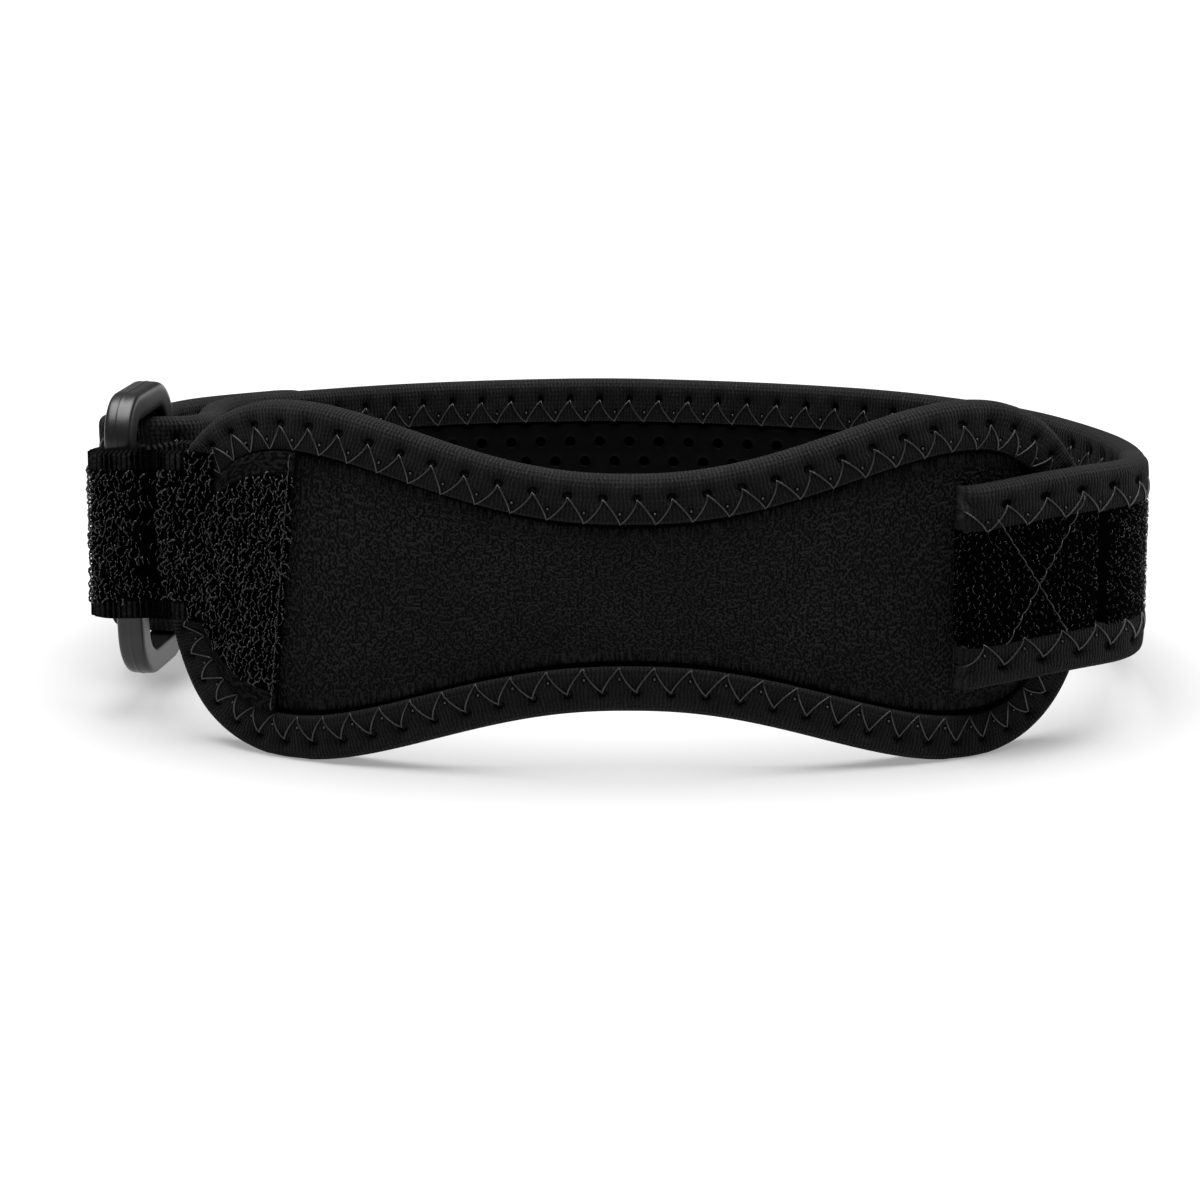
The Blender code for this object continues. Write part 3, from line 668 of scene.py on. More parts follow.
def band_section(width, thickness, turn_radius, face_points=14):
    """Depth from the edge and distance out of each point, and the depth again where the point shows."""
    share = np.linspace(0, 1, face_points)
    depth = turn_radius + (width - turn_radius - BAND_LIP) * share
    crown = BAND_CROWN * np.sin(np.pi * (CROWN_FROM + (1 - CROWN_FROM) * share)) ** 0.8
    at_turn = BAND_CROWN * math.sin(math.pi * CROWN_FROM) ** 0.8
    front = np.stack([depth, thickness + crown - at_turn], 1)[::-1]
    turn = np.linspace(math.pi / 2, math.pi, 6)[1:]
    upper = np.stack([turn_radius + turn_radius * np.cos(turn),
                      thickness - turn_radius * (1 - np.sin(turn))], 1)
    lower = np.stack([upper[:, 0], thickness - upper[:, 1]], 1)[::-1]
    back = np.stack([depth[::2], -0.5 * (crown[::2] - at_turn)], 1)
    lip = np.array([[width - 0.1, thickness - 0.35], [width, thickness - 1.1]])
    inside = np.array([[1.6, thickness - 1.2], [1.6, 1.2]])
    lip_back = np.array([[width, 1.1], [width - 0.1, 0.35]])
    shown = np.concatenate([front, upper, lower, back])
    hidden = np.concatenate([lip_back[::-1], inside[::-1], lip[::-1]])
    depth_shown = np.concatenate([shown[:, 0], np.full(len(hidden), HIDDEN)])
    return np.concatenate([shown, hidden]), depth_shown


def press_band(band, spacing, width, radius, depth, pucker, reach, knot_radius):
    """Presses the needle pits under the zigzag's points, and small ones under the knots between them."""
    grown(band, PRESSED, Spacing=spacing, First_row=PIT_DEPTH_IN - 0.25, Radius=radius, Depth=depth,
          Pucker=pucker, Pucker_radius=reach, Material=KNIT)
    grown(band, PRESSED, Spacing=spacing, First_place=spacing / 2, First_row=width - KNOT_ABOVE,
          Radius=knot_radius, Depth=0.3, Material=KNIT)


print("pits", PIT_DEPTH_IN, "mm in from the edge, knots", KNOT_ABOVE, "mm above the band's lip")


# %% [markdown]
# The pad's outline is two lobes and a waist. The band follows it, so its place along the edge is measured
# round the outline, and its depth goes inward from there. The zigzag has its pits 3.7 mm in from the edge
# and its feet at the band's inner lip, 5.4 mm apart.

# %% The pad's outline
PAD_WAIST, PAD_LOBE, PAD_LOBE_AT, PAD_FLARE, PAD_CORNER = 39.9, 61.3, 0.69, 1.2, 2.2
PAD_BAND_WIDTH = 7.9


def pad_half_height(along):
    along = np.abs(along)
    lobe_at = PAD_LOBE_AT * PAD_HALF_LENGTH
    flare = ease((along / lobe_at) ** PAD_FLARE)
    inner = (PAD_WAIST + (PAD_LOBE - PAD_WAIST) * flare) / 2
    share = np.clip((along - lobe_at) / (PAD_HALF_LENGTH - lobe_at), 0.0, 1.0)
    return np.where(along <= lobe_at, inner, PAD_LOBE / 2 * (1 - share ** PAD_CORNER) ** (1 / PAD_CORNER))


def pad_outline(count):
    along = -PAD_HALF_LENGTH * np.cos(np.linspace(0, math.pi, 600))
    upper = np.stack([along, pad_half_height(along)], 1)
    line = evenly(np.concatenate([upper, -upper[1:-1]]), count, closed=True)
    return line, normals_of(line, closed=True)


def on_band(line, inward, depth, out):
    """Points at one depth and height of the band, for every place along the pad's edge."""
    place = line + depth * inward
    return settled(on_loop(place[:, 0], out), place[:, 1])


outline, inward = pad_outline(1200)
edge_length = length_along(outline, closed=True)
PAD_SEAM_STITCHES = round(edge_length[-1] / SEAM_SPACING)
print("pad edge", round(edge_length[-1], 1), "mm,", PAD_SEAM_STITCHES, "stitches")

# %% The pad's edge band
section, depth_shown = band_section(PAD_BAND_WIDTH, PAD_THICKNESS, 2.4)
rows = np.stack([on_band(outline, inward, depth, out) for depth, out in section], axis=1)
pad_band = woven_mesh("pad_edge_band", rows, edge_length, length_along(section, closed=True), KNIT,
                      rows_closed=True, columns_closed=True, across_place=depth_shown)
press_band(pad_band, edge_length[-1] / PAD_SEAM_STITCHES, PAD_BAND_WIDTH, 1.35, 1.1, 0.55, 3.0, 0.75)
finish_piece(pad_band, "knit_band", "pad_binding")

# %% The pad's zigzag seams, front and back
SEAM_FOOT = -0.05
seam_line, seam_inward = pad_outline(PAD_SEAM_STITCHES * POINTS_A_STITCH)
knot_line, knot_inward = (half_steps[1::2] for half_steps in pad_outline(PAD_SEAM_STITCHES * 2))
for label, face, way in (("front", PAD_THICKNESS + 0.05, 1.0), ("back", -0.02, -1.0)):
    peak = on_band(seam_line, seam_inward, PIT_DEPTH_IN, face - 0.1 * way)
    foot = on_band(seam_line, seam_inward, PAD_BAND_WIDTH + SEAM_FOOT, face - 0.1 * way)
    out = unit(on_band(seam_line, seam_inward, PIT_DEPTH_IN, face + way) - peak)
    sew("pad_seam_" + label, peak, foot, out, "knit_band", closed=True, lean=0.45)
    tie("pad_knots_" + label,
        on_band(knot_line, knot_inward, PAD_BAND_WIDTH - KNOT_ABOVE, face + 0.05 * way))

# %% [markdown]
# The pad itself is foam under the grained cloth. It swells a little inside the band and drops at the
# seam, where the stitches pull it in. It is one closed skin, with lining on the side of the leg.

# %% The pad
WALL_AND_GAP = 1.3
PAD_SWELL, PAD_SWELL_OVER, PAD_FACE_COLUMNS = 0.75, 9.0, 110


def upper_side(line):
    """The upper half of an outline, from left to right."""
    line = line[line[:, 1] > 0]
    return line[np.argsort(line[:, 0])].T


face_edge = upper_side(outline + WALL_AND_GAP * inward)
pad_end = PAD_HALF_LENGTH - 1.15 * WALL_AND_GAP


def pad_face(count, level_count, out, swell):
    along = -pad_end * np.cos(np.linspace(0.02, math.pi - 0.02, count))[:, None]
    level = np.sin(np.linspace(-math.pi / 2, math.pi / 2, level_count))[None, :]
    half = np.interp(along, *face_edge)
    from_edge = np.minimum(half * (1 - np.abs(level)), PAD_HALF_LENGTH - np.abs(along)) + WALL_AND_GAP
    rise = swell * ease((from_edge - PAD_BAND_WIDTH) / PAD_SWELL_OVER)
    crease = np.exp(-((from_edge - PAD_BAND_WIDTH - 0.15) / 0.7) ** 2)
    groove = 0.6 * crease
    ripple = 0.10 * np.sin(along / 9.0 + level * 2.0) * np.sin(level * 4.0 + along / 21.0)
    high = level * half
    far = out + (rise - groove + ripple) * np.sign(swell if swell else 1.0)
    by_band = ease(1 - (from_edge - PAD_BAND_WIDTH) / 4.5)
    return settled(on_loop(np.broadcast_to(along, high.shape), far), high), along, high, by_band, crease


face_out, back_out = PAD_THICKNESS - WALL_AND_GAP, WALL_AND_GAP - 0.35
front_rows, along, high, by_band, crease = pad_face(320, PAD_FACE_COLUMNS, face_out, PAD_SWELL)
back_rows, _, back_high, _, _ = pad_face(320, 30, back_out, 0.0)
rows = np.concatenate([front_rows, back_rows[:, ::-1]], axis=1)
across = np.concatenate([high[150], back_high[150][::-1] - 100.0, [-160.0]])
plain_back = np.zeros_like(back_high)
# the crease goes in as the pit mark, which paints shade along the band's lip
pad = woven_mesh("pad_face", rows, np.append(along[:, 0], along[-1, 0]), across, GRAIN,
                 columns_closed=True, capped=True, pit=np.concatenate([crease, plain_back], axis=1))
carry(pad.data, "by_band", np.concatenate([by_band, plain_back], axis=1).ravel())
pad.data.materials.append(NEOPRENE)
behind = [polygon.vertices[0] % rows.shape[1] >= PAD_FACE_COLUMNS for polygon in pad.data.polygons]
pad.data.polygons.foreach_set("material_index", np.array(behind, dtype=np.int32))
finish_piece(pad, "pad_face", "pad_core")

# %% [markdown]
# The wide strap is one long line seen from above: over the pad's right end, round the back, through the
# ring, and back on itself. Its width and height change slowly along the way, as the cloth does when it
# turns. Everything on the strap is placed by its length along this line.

# %% The strap's line
STRAP_THICKNESS, STRAP_WIDTH, STRAP_BAND_WIDTH = 4.7, 40.0, 7.8
STRAP_RUN = np.array((
    (0.00, 0.865, -0.010), (0.06, 0.870, 0.034), (0.125, 0.870, 0.016), (0.16, 0.870, -0.015),
    (0.21, 0.875, -0.080), (0.28, 0.915, -0.1025), (0.32, 0.955, -0.0975), (0.42, 0.950, -0.060),
    (0.60, 0.990, -0.050), (0.80, 0.975, -0.055), (0.90, 0.975, -0.030), (0.97, 0.955, 0.060),
    (1.00, 0.955, 0.070)))
STRAP_EASE = 0.025
SEWN_OVER_PAD, STRAP_LEAVES_PAD = 27.1, 22.0
FOLD_RADIUS, FOLD_OUT, FOLD_CLOSES = 7.6, 0.7, 42.0
LAP_PAST_FOLD, LAP_DROP, LAP_DROP_OVER, HOOK_THICKNESS, GAP = 10.0, 0.8, 24.0, 1.2, 0.3
RING_HEIGHT, RING_WIDTH, RING_BAR, RING_CORNER = 49.4, 26.0, 4.8, 8.0
RING_PAST_PAD, RING_OUT, RING_TURN, RING_RAISE = 7.2, 6.5, 12.0, 3.1


def ring_frame():
    ring_at = PAD_HALF_LENGTH + RING_PAST_PAD
    front = on_loop(-ring_at, RING_OUT)
    bars_apart = RING_WIDTH - RING_BAR
    towards = unit(on_loop(-ring_at - bars_apart, RING_OUT - RING_TURN) - front)
    rear = front + towards * bars_apart
    outward = np.array([towards[1], -towards[0]])
    outward = outward if outward[0] < 0 else -outward
    play = FOLD_RADIUS - STRAP_THICKNESS / 2 - math.hypot(RING_BAR, RING_BAR) / 2 - GAP
    fold = rear + towards * math.sqrt(max(play * play - FOLD_OUT * FOLD_OUT, 0.0)) + outward * FOLD_OUT
    return front, rear, fold, towards, outward


def bridge(start, first, end, last):
    """A smooth line between two places with given directions."""
    reach = np.linalg.norm(end - start) * 0.38
    b, c = start + reach * unit(first), end - reach * unit(last)
    share = np.linspace(0, 1, 24)[:, None]
    rest = 1 - share
    return start * rest ** 3 + 3 * b * rest ** 2 * share + 3 * c * rest * share ** 2 + end * share ** 3


def strap_line():
    half = STRAP_THICKNESS / 2
    on_face, on_edge = PAD_THICKNESS - WALL_AND_GAP + 0.7 + GAP + half, PAD_THICKNESS + GAP + half
    sewn, leave = PAD_HALF_LENGTH - SEWN_OVER_PAD, PAD_HALF_LENGTH + GAP
    _, _, fold, towards, outward = ring_frame()
    close = float(CURVE_LENGTH[int(np.argmin(np.linalg.norm(CURVE - fold, axis=1)))]) - FOLD_CLOSES
    on_pad = np.arange(sewn, leave, 1.0)
    share = (on_pad - sewn) / (PAD_HALF_LENGTH - PAD_BAND_WIDTH - sewn)
    parts = [on_loop(on_pad, on_face + (on_edge - on_face) * ease(share))]
    round_leg = np.arange(leave, close, 1.0)
    share = ease((round_leg - leave) / STRAP_LEAVES_PAD)
    parts.append(on_loop(round_leg, on_edge + (half - on_edge) * share))
    inner_side, outer_side = fold - outward * FOLD_RADIUS, fold + outward * FOLD_RADIUS
    start = on_loop(close, half)
    parts.append(bridge(start, on_loop(close + 1.0, half) - start, inner_side, -towards))
    turn = np.linspace(0, math.pi, 25)[1:-1, None]
    parts.append(fold - outward * FOLD_RADIUS * np.cos(turn) - towards * FOLD_RADIUS * np.sin(turn))
    lap = half + STRAP_THICKNESS + HOOK_THICKNESS + 2 * GAP
    end = on_loop(close, lap)
    parts.append(bridge(outer_side, towards, end, end - on_loop(close + 1.0, lap)))
    parts.append(on_loop(np.arange(close - 1.0, close - LAP_PAST_FOLD, -1.0), lap))
    line = np.concatenate(parts)
    turning = int(np.argmin(np.linalg.norm(line - (fold - towards * FOLD_RADIUS), axis=1)))
    return line, float(length_along(line)[turning])


strap_drawn, STRAP_TURNS_AT = strap_line()
STRAP_POINTS = evenly(strap_drawn, 900)
STRAP_NORMALS = normals_of(STRAP_POINTS)
STRAP_AT = length_along(STRAP_POINTS)
STRAP_LENGTH = float(STRAP_AT[-1])
SEWN_ROUND, FREE_ROUND = 2.4, 4.0


def strap_place(at, level, out):
    """On the strap at lengths along it. level runs from -1 at the lower edge to 1 at the upper edge,
    out is millimetres from the strap's middle to its outer side."""
    at, level, out = np.broadcast_arrays(*(np.asarray(item, float) for item in (at, level, out)))
    share = 1 - np.abs(1 - at / STRAP_TURNS_AT)
    around = np.linspace(-STRAP_EASE, STRAP_EASE, 7)
    wide, high = (np.mean([np.interp(share + step, STRAP_RUN[:, 0], column) for step in around], 0)
                  for column in STRAP_RUN.T[1:])
    half = wide * STRAP_WIDTH / 2
    middle = high * STRAP_WIDTH - LAP_DROP * ease((at - STRAP_TURNS_AT) / LAP_DROP_OVER)
    # the sewn end comes down to the pad, and the free end to the layer under it
    sewn = 0.15 + 0.85 * np.sqrt(1 - (1 - np.clip(at / SEWN_ROUND, 0, 1)) ** 2)
    free = 0.15 + 0.85 * np.sqrt(1 - (1 - np.clip((STRAP_LENGTH - at) / FREE_ROUND, 0, 1)) ** 2)
    face = STRAP_THICKNESS / 2
    out = face - (face + face - (out + face) * sewn) * free
    plan = np.stack([np.interp(at, STRAP_AT, axis) for axis in STRAP_POINTS.T], -1)
    normal = unit(np.stack([np.interp(at, STRAP_AT, axis) for axis in STRAP_NORMALS.T], -1))
    return plan + normal * out[..., None], middle + level * half, half


def on_strap(at, depth, out, side):
    """On the strap's band: depth is millimetres in from its upper (side 1) or lower (side -1) edge."""
    plan, middle, half = strap_place(at, 0.0, out)
    return settled(plan, middle + side * (half - depth))


print("strap", round(STRAP_LENGTH, 1), "mm, turns round the ring at", round(STRAP_TURNS_AT, 1), "mm")

# %% [markdown]
# Along the strap's two edges runs the same folded band. Its stitches are counted along the strap, because
# they are longer near the sewn end than elsewhere, and the pits, knots and punched holes all follow the
# same count.

# %% The strap's stitches
STITCH_LENGTH, STITCH_AT_SEWN_END = 5.6, 7.3
stitch_grid = np.linspace(0, STRAP_LENGTH, 2001)
stitch_here = STITCH_LENGTH + (STITCH_AT_SEWN_END - STITCH_LENGTH) * ease((70.0 - stitch_grid) / 30.0)
stitch_count = length_along(np.cumsum(1 / stitch_here)[:, None]) * stitch_grid[1]
STRAP_SEAM_STITCHES = round(float(stitch_count[-1]))
stitch_count = stitch_count * STRAP_SEAM_STITCHES / stitch_count[-1]


def by_stitches(at):
    """Lengths along the strap as if every stitch were STITCH_LENGTH long."""
    return np.interp(at, stitch_grid, stitch_count) * STITCH_LENGTH


seam_at, knots_at = (np.interp(numbers, stitch_count, stitch_grid) for numbers in (
    np.arange(STRAP_SEAM_STITCHES * POINTS_A_STITCH + 1) / POINTS_A_STITCH,
    np.arange(STRAP_SEAM_STITCHES) + 0.5))
print("strap seams have", STRAP_SEAM_STITCHES, "stitches")

# %% The strap's edge bands and their seams
strap_at = np.linspace(0, STRAP_LENGTH, 1000)
section, depth_shown = band_section(STRAP_BAND_WIDTH, STRAP_THICKNESS, 1.9, 12)
for label, side in (("top", 1), ("bottom", -1)):
    rows = np.stack([on_strap(strap_at, depth, out - STRAP_THICKNESS / 2, side)
                     for depth, out in section], axis=1)
    band = woven_mesh("strap_edge_band_" + label, rows, np.append(strap_at, strap_at[-1]),
                      length_along(section, closed=True), KNIT, columns_closed=True, capped=True,
                      along_place=by_stitches(strap_at), across_place=depth_shown)
    press_band(band, STITCH_LENGTH, STRAP_BAND_WIDTH, 1.3, 0.95, 0.5, 2.8, 0.7)
    finish_piece(band, "knit_band", "strap_binding_" + label)
    for face, way in (("outside", 1.0), ("inside", -1.0)):
        surface = way * (STRAP_THICKNESS / 2 + 0.05)
        peak = on_strap(seam_at, PIT_DEPTH_IN, surface - 0.1 * way, side)
        foot = on_strap(seam_at, STRAP_BAND_WIDTH + SEAM_FOOT, surface - 0.1 * way, side)
        out = unit(on_strap(seam_at, PIT_DEPTH_IN, surface + way, side) - peak)
        sew("strap_seam_" + label + "_" + face, peak, foot, out, "knit_band", lean=0.4)
        tie("strap_knots_" + label + "_" + face,
            on_strap(knots_at, STRAP_BAND_WIDTH - KNOT_ABOVE, surface, side))

# %% [markdown]
# The lining shows on the inside of the loop. Its holes are just under 2 mm wide, 5.6 mm apart and
# staggered from row to row, and the same tree that made the needle pits presses them in. The top row lies
# half under the band, and painted shade darkens the lining along the band's lip, where it goes down into the
# seam.

# %% The strap's punched lining
CORE_WALL = 1.3
LINING_COLUMNS, LINING_HALF, LIP_AT = 66, 13.2, 12.2
HOLE_ROWS, HOLE_ROWS_APART, HOLE_RADIUS, HOLE_DEPTH = 7, 3.87, 1.3, 1.0
lining_at = np.linspace(0.4, STRAP_LENGTH - 0.1, 1100)
face_high = np.linspace(-LINING_HALF, LINING_HALF, LINING_COLUMNS)
inner, outer = CORE_WALL - STRAP_THICKNESS / 2 - 0.55, STRAP_THICKNESS / 2 - CORE_WALL
plan, middle, half = strap_place(lining_at[:, None], 0.0, np.full((1, LINING_COLUMNS), inner))
inner_rows = settled(plan, middle + face_high[None, :] * (half - STRAP_BAND_WIDTH + 1.0) / LINING_HALF)
plan, middle, half = strap_place(lining_at[:, None], 0.0, np.full((1, 4), outer))
outer_rows = settled(plan, middle + np.linspace(1, -1, 4)[None, :] * (half - 2.0))
lip_shade = 0.8 * ease((np.abs(face_high) - LIP_AT + 0.75) / 0.7)
lining = woven_mesh("strap_lining", np.concatenate([inner_rows, outer_rows], axis=1),
                    np.append(lining_at, lining_at[-1]),
                    np.concatenate([face_high, [40.0, 45.0, 50.0, 55.0, 60.0]]), NEOPRENE,
                    columns_closed=True, capped=True, along_place=by_stitches(lining_at),
                    across_place=np.concatenate([face_high, [-90.0] * 4]),
                    pit=np.concatenate([lip_shade, [0.0] * 4]))
grown(lining, PRESSED, Spacing=STITCH_LENGTH, First_place=STITCH_LENGTH / 2,
      First_row=LIP_AT - 0.1 - (HOLE_ROWS - 1) * HOLE_ROWS_APART, Row_spacing=HOLE_ROWS_APART,
      Rows=float(HOLE_ROWS), Stagger=0.5, Radius=HOLE_RADIUS, Depth=HOLE_DEPTH, Pucker=0.08,
      Pucker_radius=2.2, Material=NEOPRENE)
finish_piece(lining, "lining", "strap_core")

# %% [markdown]
# Loop pile is thousands of small arcs of yarn standing on a knitted ground. The tree scatters places over
# the ground at a smallest distance from each other, stands an arc of yarn on each, turns and tips it at
# random from a fixed seed, and realises them all as one mesh with the ground.

# %% The tree for loop pile
def pile_tree():
    tree, given = new_tree("loop pile", Spacing=0.8, Most=1.0e6, Loop_radius=0.5, Yarn=0.1, Tip=0.8,
                           Turn=0.8, Arc_points=6, Seed=1, Material=None)
    napped = add(tree, NAMED, {"Name": "pile"}, data_type="FLOAT")
    napped = add(tree, MATH, (napped, 0.75), operation="GREATER_THAN")
    apart, radius, thick = (add(tree, MATH, (given[label], MM), operation="MULTIPLY")
                            for label in ("Spacing", "Loop radius", "Yarn"))
    points = add(tree, "GeometryNodeDistributePointsOnFaces", {
        "Mesh": given["Geometry"], "Selection": napped, "Distance Min": apart, "Density Max": given["Most"],
        "Seed": given["Seed"]}, "Points", distribute_method="POISSON")
    # one loop is somewhat over half a circle of yarn, stood on its open side
    arc = add(tree, "GeometryNodeCurveArc", {
        "Resolution": given["Arc points"], "Radius": radius, "Start Angle": math.radians(-25),
        "Sweep Angle": math.radians(230)})
    section = add(tree, "GeometryNodeCurvePrimitiveCircle", {"Resolution": 3, "Radius": thick})
    yarn = add(tree, "GeometryNodeCurveToMesh", {"Curve": arc, "Profile Curve": section})
    stood = add(tree, "GeometryNodeTransform",
                {"Geometry": yarn, "Rotation": (math.radians(90), 0.0, math.radians(90))})
    # every loop is tipped, turned and sized by chance
    chance = add(tree, "FunctionNodeRandomValue", {0: (-1.0,) * 3, 1: (1.0,) * 3, "Seed": given["Seed"]},
                 data_type="FLOAT_VECTOR")
    amount = add(tree, "ShaderNodeCombineXYZ", (given["Tip"], given["Tip"], given["Turn"]))
    turn = add(tree, VECTOR_MATH, (chance, amount), operation="MULTIPLY")
    size = add(tree, "FunctionNodeRandomValue", {2: 0.65, 3: 1.25, "Seed": given["Seed"]}, 1,
               data_type="FLOAT")
    loops = add(tree, "GeometryNodeInstanceOnPoints", {
        "Points": points, "Instance": stood, "Rotation": points.node.outputs["Rotation"], "Scale": size})
    loops = add(tree, "GeometryNodeRotateInstances",
                {"Instances": loops, "Rotation": turn, "Local Space": True})
    return end_tree(tree, given, loops, given["Geometry"])


PILE = pile_tree()
print(PILE.name, "has", len(PILE.nodes), "nodes")

# %% [markdown]
# The pile on the strap is fine and short. The strap steps down where it leaves the pad: the cloth bends
# there in a narrow groove, and no loops stand in it.

# %% The wide strap's pile
STEP_PAST_PAD, STEP_WIDTH, STEP_DEPTH = -0.5, 0.9, 0.9
facing_at = np.concatenate([[0.0, 0.0], np.linspace(0.15, STRAP_LENGTH - 0.1, 420)])
facing_out = np.full((len(facing_at), 1), STRAP_THICKNESS / 2 - 0.1)
facing_out[0], facing_out[1] = -STRAP_THICKNESS / 2 + 0.4, STRAP_THICKNESS / 2 - 0.9
step = np.exp(-((facing_at - SEWN_OVER_PAD - STEP_PAST_PAD) / STEP_WIDTH) ** 2)[:, None]
facing_out = facing_out - STEP_DEPTH * step


def facing_rows(level, below):
    plan, middle, half = strap_place(facing_at[:, None], 0.0, facing_out + 0.0 * level - below)
    return settled(plan, middle + level * (half - STRAP_BAND_WIDTH + 0.4))


level = np.linspace(-1, 1, 12)[None, :]
rows = np.concatenate([facing_rows(level, 0.0), facing_rows(np.array([[1.0, -1.0]]), 0.9)], axis=1)
# painted shade darkens the pile and its ground in the step's groove
facing = woven_mesh("strap_pile", rows, np.append(facing_at, facing_at[-1]),
                    np.concatenate([level[0] * 11.5, [12.5, 35.5, 36.5]]), PILE_GROUND,
                    columns_closed=True, capped=True,
                    pile=np.where(step > 0.6, 0.5, 1.0) * np.repeat([1.0, 0.5], [12, 2]),
                    shade=0.8 * np.sqrt(step))
grown(facing, PILE, Spacing=0.80, Most=1.6e6, Loop_radius=0.34, Yarn=0.08, Tip=0.7, Turn=0.9,
      Arc_points=4, Seed=3, Material=NYLON_LOOPS)
finish_piece(facing, "loop_pile", "strap_facing")

# %% [markdown]
# On the pad's left lobe lies a patch of coarser loops, cut straight along a slanting edge and sewn down
# there with a running stitch. The elastic is faced with the same loops and runs over the patch's end, so
# that the pile seems to go on without a break.

# %% The loop patch
PATCH_LENGTH, PATCH_SLANT, ELASTIC_OVER_PAD = 12.0, 2.2, 12.0
PATCH_INNER = PAD_THICKNESS - WALL_AND_GAP + 0.7 + GAP
patch_start = -(PAD_HALF_LENGTH - ELASTIC_OVER_PAD) - 3.0
band_lip = upper_side(outline + (PAD_BAND_WIDTH + 0.1) * inward)


def on_patch(share, level, out):
    share, level = np.broadcast_arrays(np.asarray(share, float), np.asarray(level, float))
    along = patch_start + (PATCH_LENGTH + 3.3 + PATCH_SLANT * level) * share
    high = np.interp(along, *band_lip) * level
    return settled(on_loop(along, out), high), high


share, level = np.linspace(0, 1, 30)[:, None], np.linspace(-1, 1, 40)[None, :]
top_rows, patch_high = on_patch(share, level, PATCH_INNER + 0.7)
under_rows, _ = on_patch(share, np.linspace(1, -1, 4)[None, :], PATCH_INNER - 0.5)
rows = np.concatenate([top_rows, under_rows], axis=1)
patch = woven_mesh("loop_patch_pile", rows, np.append(share[:, 0], 1.0) * PATCH_LENGTH,
                   np.concatenate([patch_high[15], [30.0, 40.0, 50.0, 60.0, 61.0]]), PATCH_GROUND,
                   columns_closed=True, capped=True, pile=np.repeat([0.0, 1.0, 0.0], [4, 32, 8]))
grown(patch, PILE, Spacing=0.66, Most=4.0e6, Loop_radius=0.58, Yarn=0.16, Tip=0.8, Turn=0.8, Arc_points=7,
      Seed=5, Material=NYLON_LOOPS)
finish_piece(patch, "loop_pile", "loop_patch")

# %% [markdown]
# The elastic is sewn over the pad, goes round the ring's front bar and comes back behind the pad. Its two
# edges are ribbed selvedges without loops. Near the pad it bends sharply, so the pile closes over itself
# there in a dark gap with only a few loops in clumps.

# %% The elastic's line
ELASTIC_THICKNESS, ELASTIC_WIDTH, ELASTIC_SLACK = 2.0, 29.4, 1.5
ELASTIC_RAISE, ELASTIC_RAISE_ON_PAD = 4.3, 6.6


def elastic_line(slack):
    front, _, _, towards, outward = ring_frame()
    front = front + outward * slack / 2
    half = ELASTIC_THICKNESS / 2
    radius = math.hypot(RING_BAR, RING_BAR) / 2 - 0.36 + GAP + half + slack / 2
    outside, inside = PAD_THICKNESS + GAP + half, -GAP - half
    end, leave, back = PAD_HALF_LENGTH - ELASTIC_OVER_PAD, PAD_HALF_LENGTH - 1.0, PAD_HALF_LENGTH + 1.0
    first = on_loop(-leave, outside)
    last = on_loop(-back, inside)
    turn = np.linspace(0, math.pi, 17)[1:-1, None]
    return evenly(np.concatenate([
        on_loop(-np.arange(end, leave, 1.0), outside),
        bridge(first, on_loop(-leave - 1.0, outside) - first, front + outward * radius, towards),
        front + outward * radius * np.cos(turn) + towards * radius * np.sin(turn),
        bridge(front - outward * radius, -towards, last, last - on_loop(-back - 1.0, inside)),
        on_loop(-np.arange(back - 1.0, end, -1.0), inside)]), 260)


elastic_upper, elastic_lower = elastic_line(0.0), elastic_line(ELASTIC_SLACK)
elastic_at = length_along(elastic_upper)
print("elastic", round(elastic_at[-1], 1), "mm")


def on_elastic(level, out):
    """On the elastic at every station. level runs from -1 at the lower edge to 1 at the upper edge."""
    upper, lower = (line[:, None] + normals_of(line)[:, None] * out[None, :, None]
                    for line in (elastic_upper, elastic_lower))
    share = (level[None, :, None] + 1) / 2
    from_turn = np.abs(np.linspace(-1, 1, len(elastic_upper)))[:, None]
    middle = ELASTIC_RAISE + (ELASTIC_RAISE_ON_PAD - ELASTIC_RAISE) * ease(from_turn)
    return settled(lower * (1 - share) + upper * share, middle + level[None, :] * ELASTIC_WIDTH / 2)


# %% The elastic and its pile
ELASTIC_BEND_AT, ELASTIC_BEND_WIDTH = 12.6, 3.0
SELVEDGE_RIBS, SELVEDGE_FROM = 1.15, 0.72
half = ELASTIC_THICKNESS / 2
level = np.concatenate([np.linspace(-0.97, 0.97, 34), [1.0], np.linspace(0.97, -0.97, 8), [-1.0]])
out = np.concatenate([np.full(34, -half), [0.0], np.full(8, half), [0.0]])
rows = on_elastic(level, out)
# thinned towards its sewn end, so that its pile runs on into the patch
bend = np.exp(-((elastic_at - ELASTIC_BEND_AT) / ELASTIC_BEND_WIDTH) ** 2)[:, None]
thinned = 1.5 * ease((9.0 - elastic_at[:, None]) / 9.0) + 1.3 * bend
rows = rows + (on_elastic(level, np.where(out < 0, out + 1.0, out)) - rows) * thinned[..., None]
# ribs of the selvedges
ribs = 0.5 * (1 + np.sin(elastic_at * 2 * math.pi / SELVEDGE_RIBS)) * ease((elastic_at - 4.0) / 4.0)
at_edge = np.clip((np.abs(level) - SELVEDGE_FROM) / 0.06, 0.0, 1.0)[None, :, None]
proud = on_elastic(level, out - np.where(out < 0, 1.0, 0.0)) - on_elastic(level, out)
rows = rows + proud * (at_edge * (0.5 * ribs - 0.1)[:, None, None])
napped = np.where((np.abs(level)[None, :] < 0.76) | (elastic_at[:, None] < 5.0), 1.0, 0.0) * (out < 0)
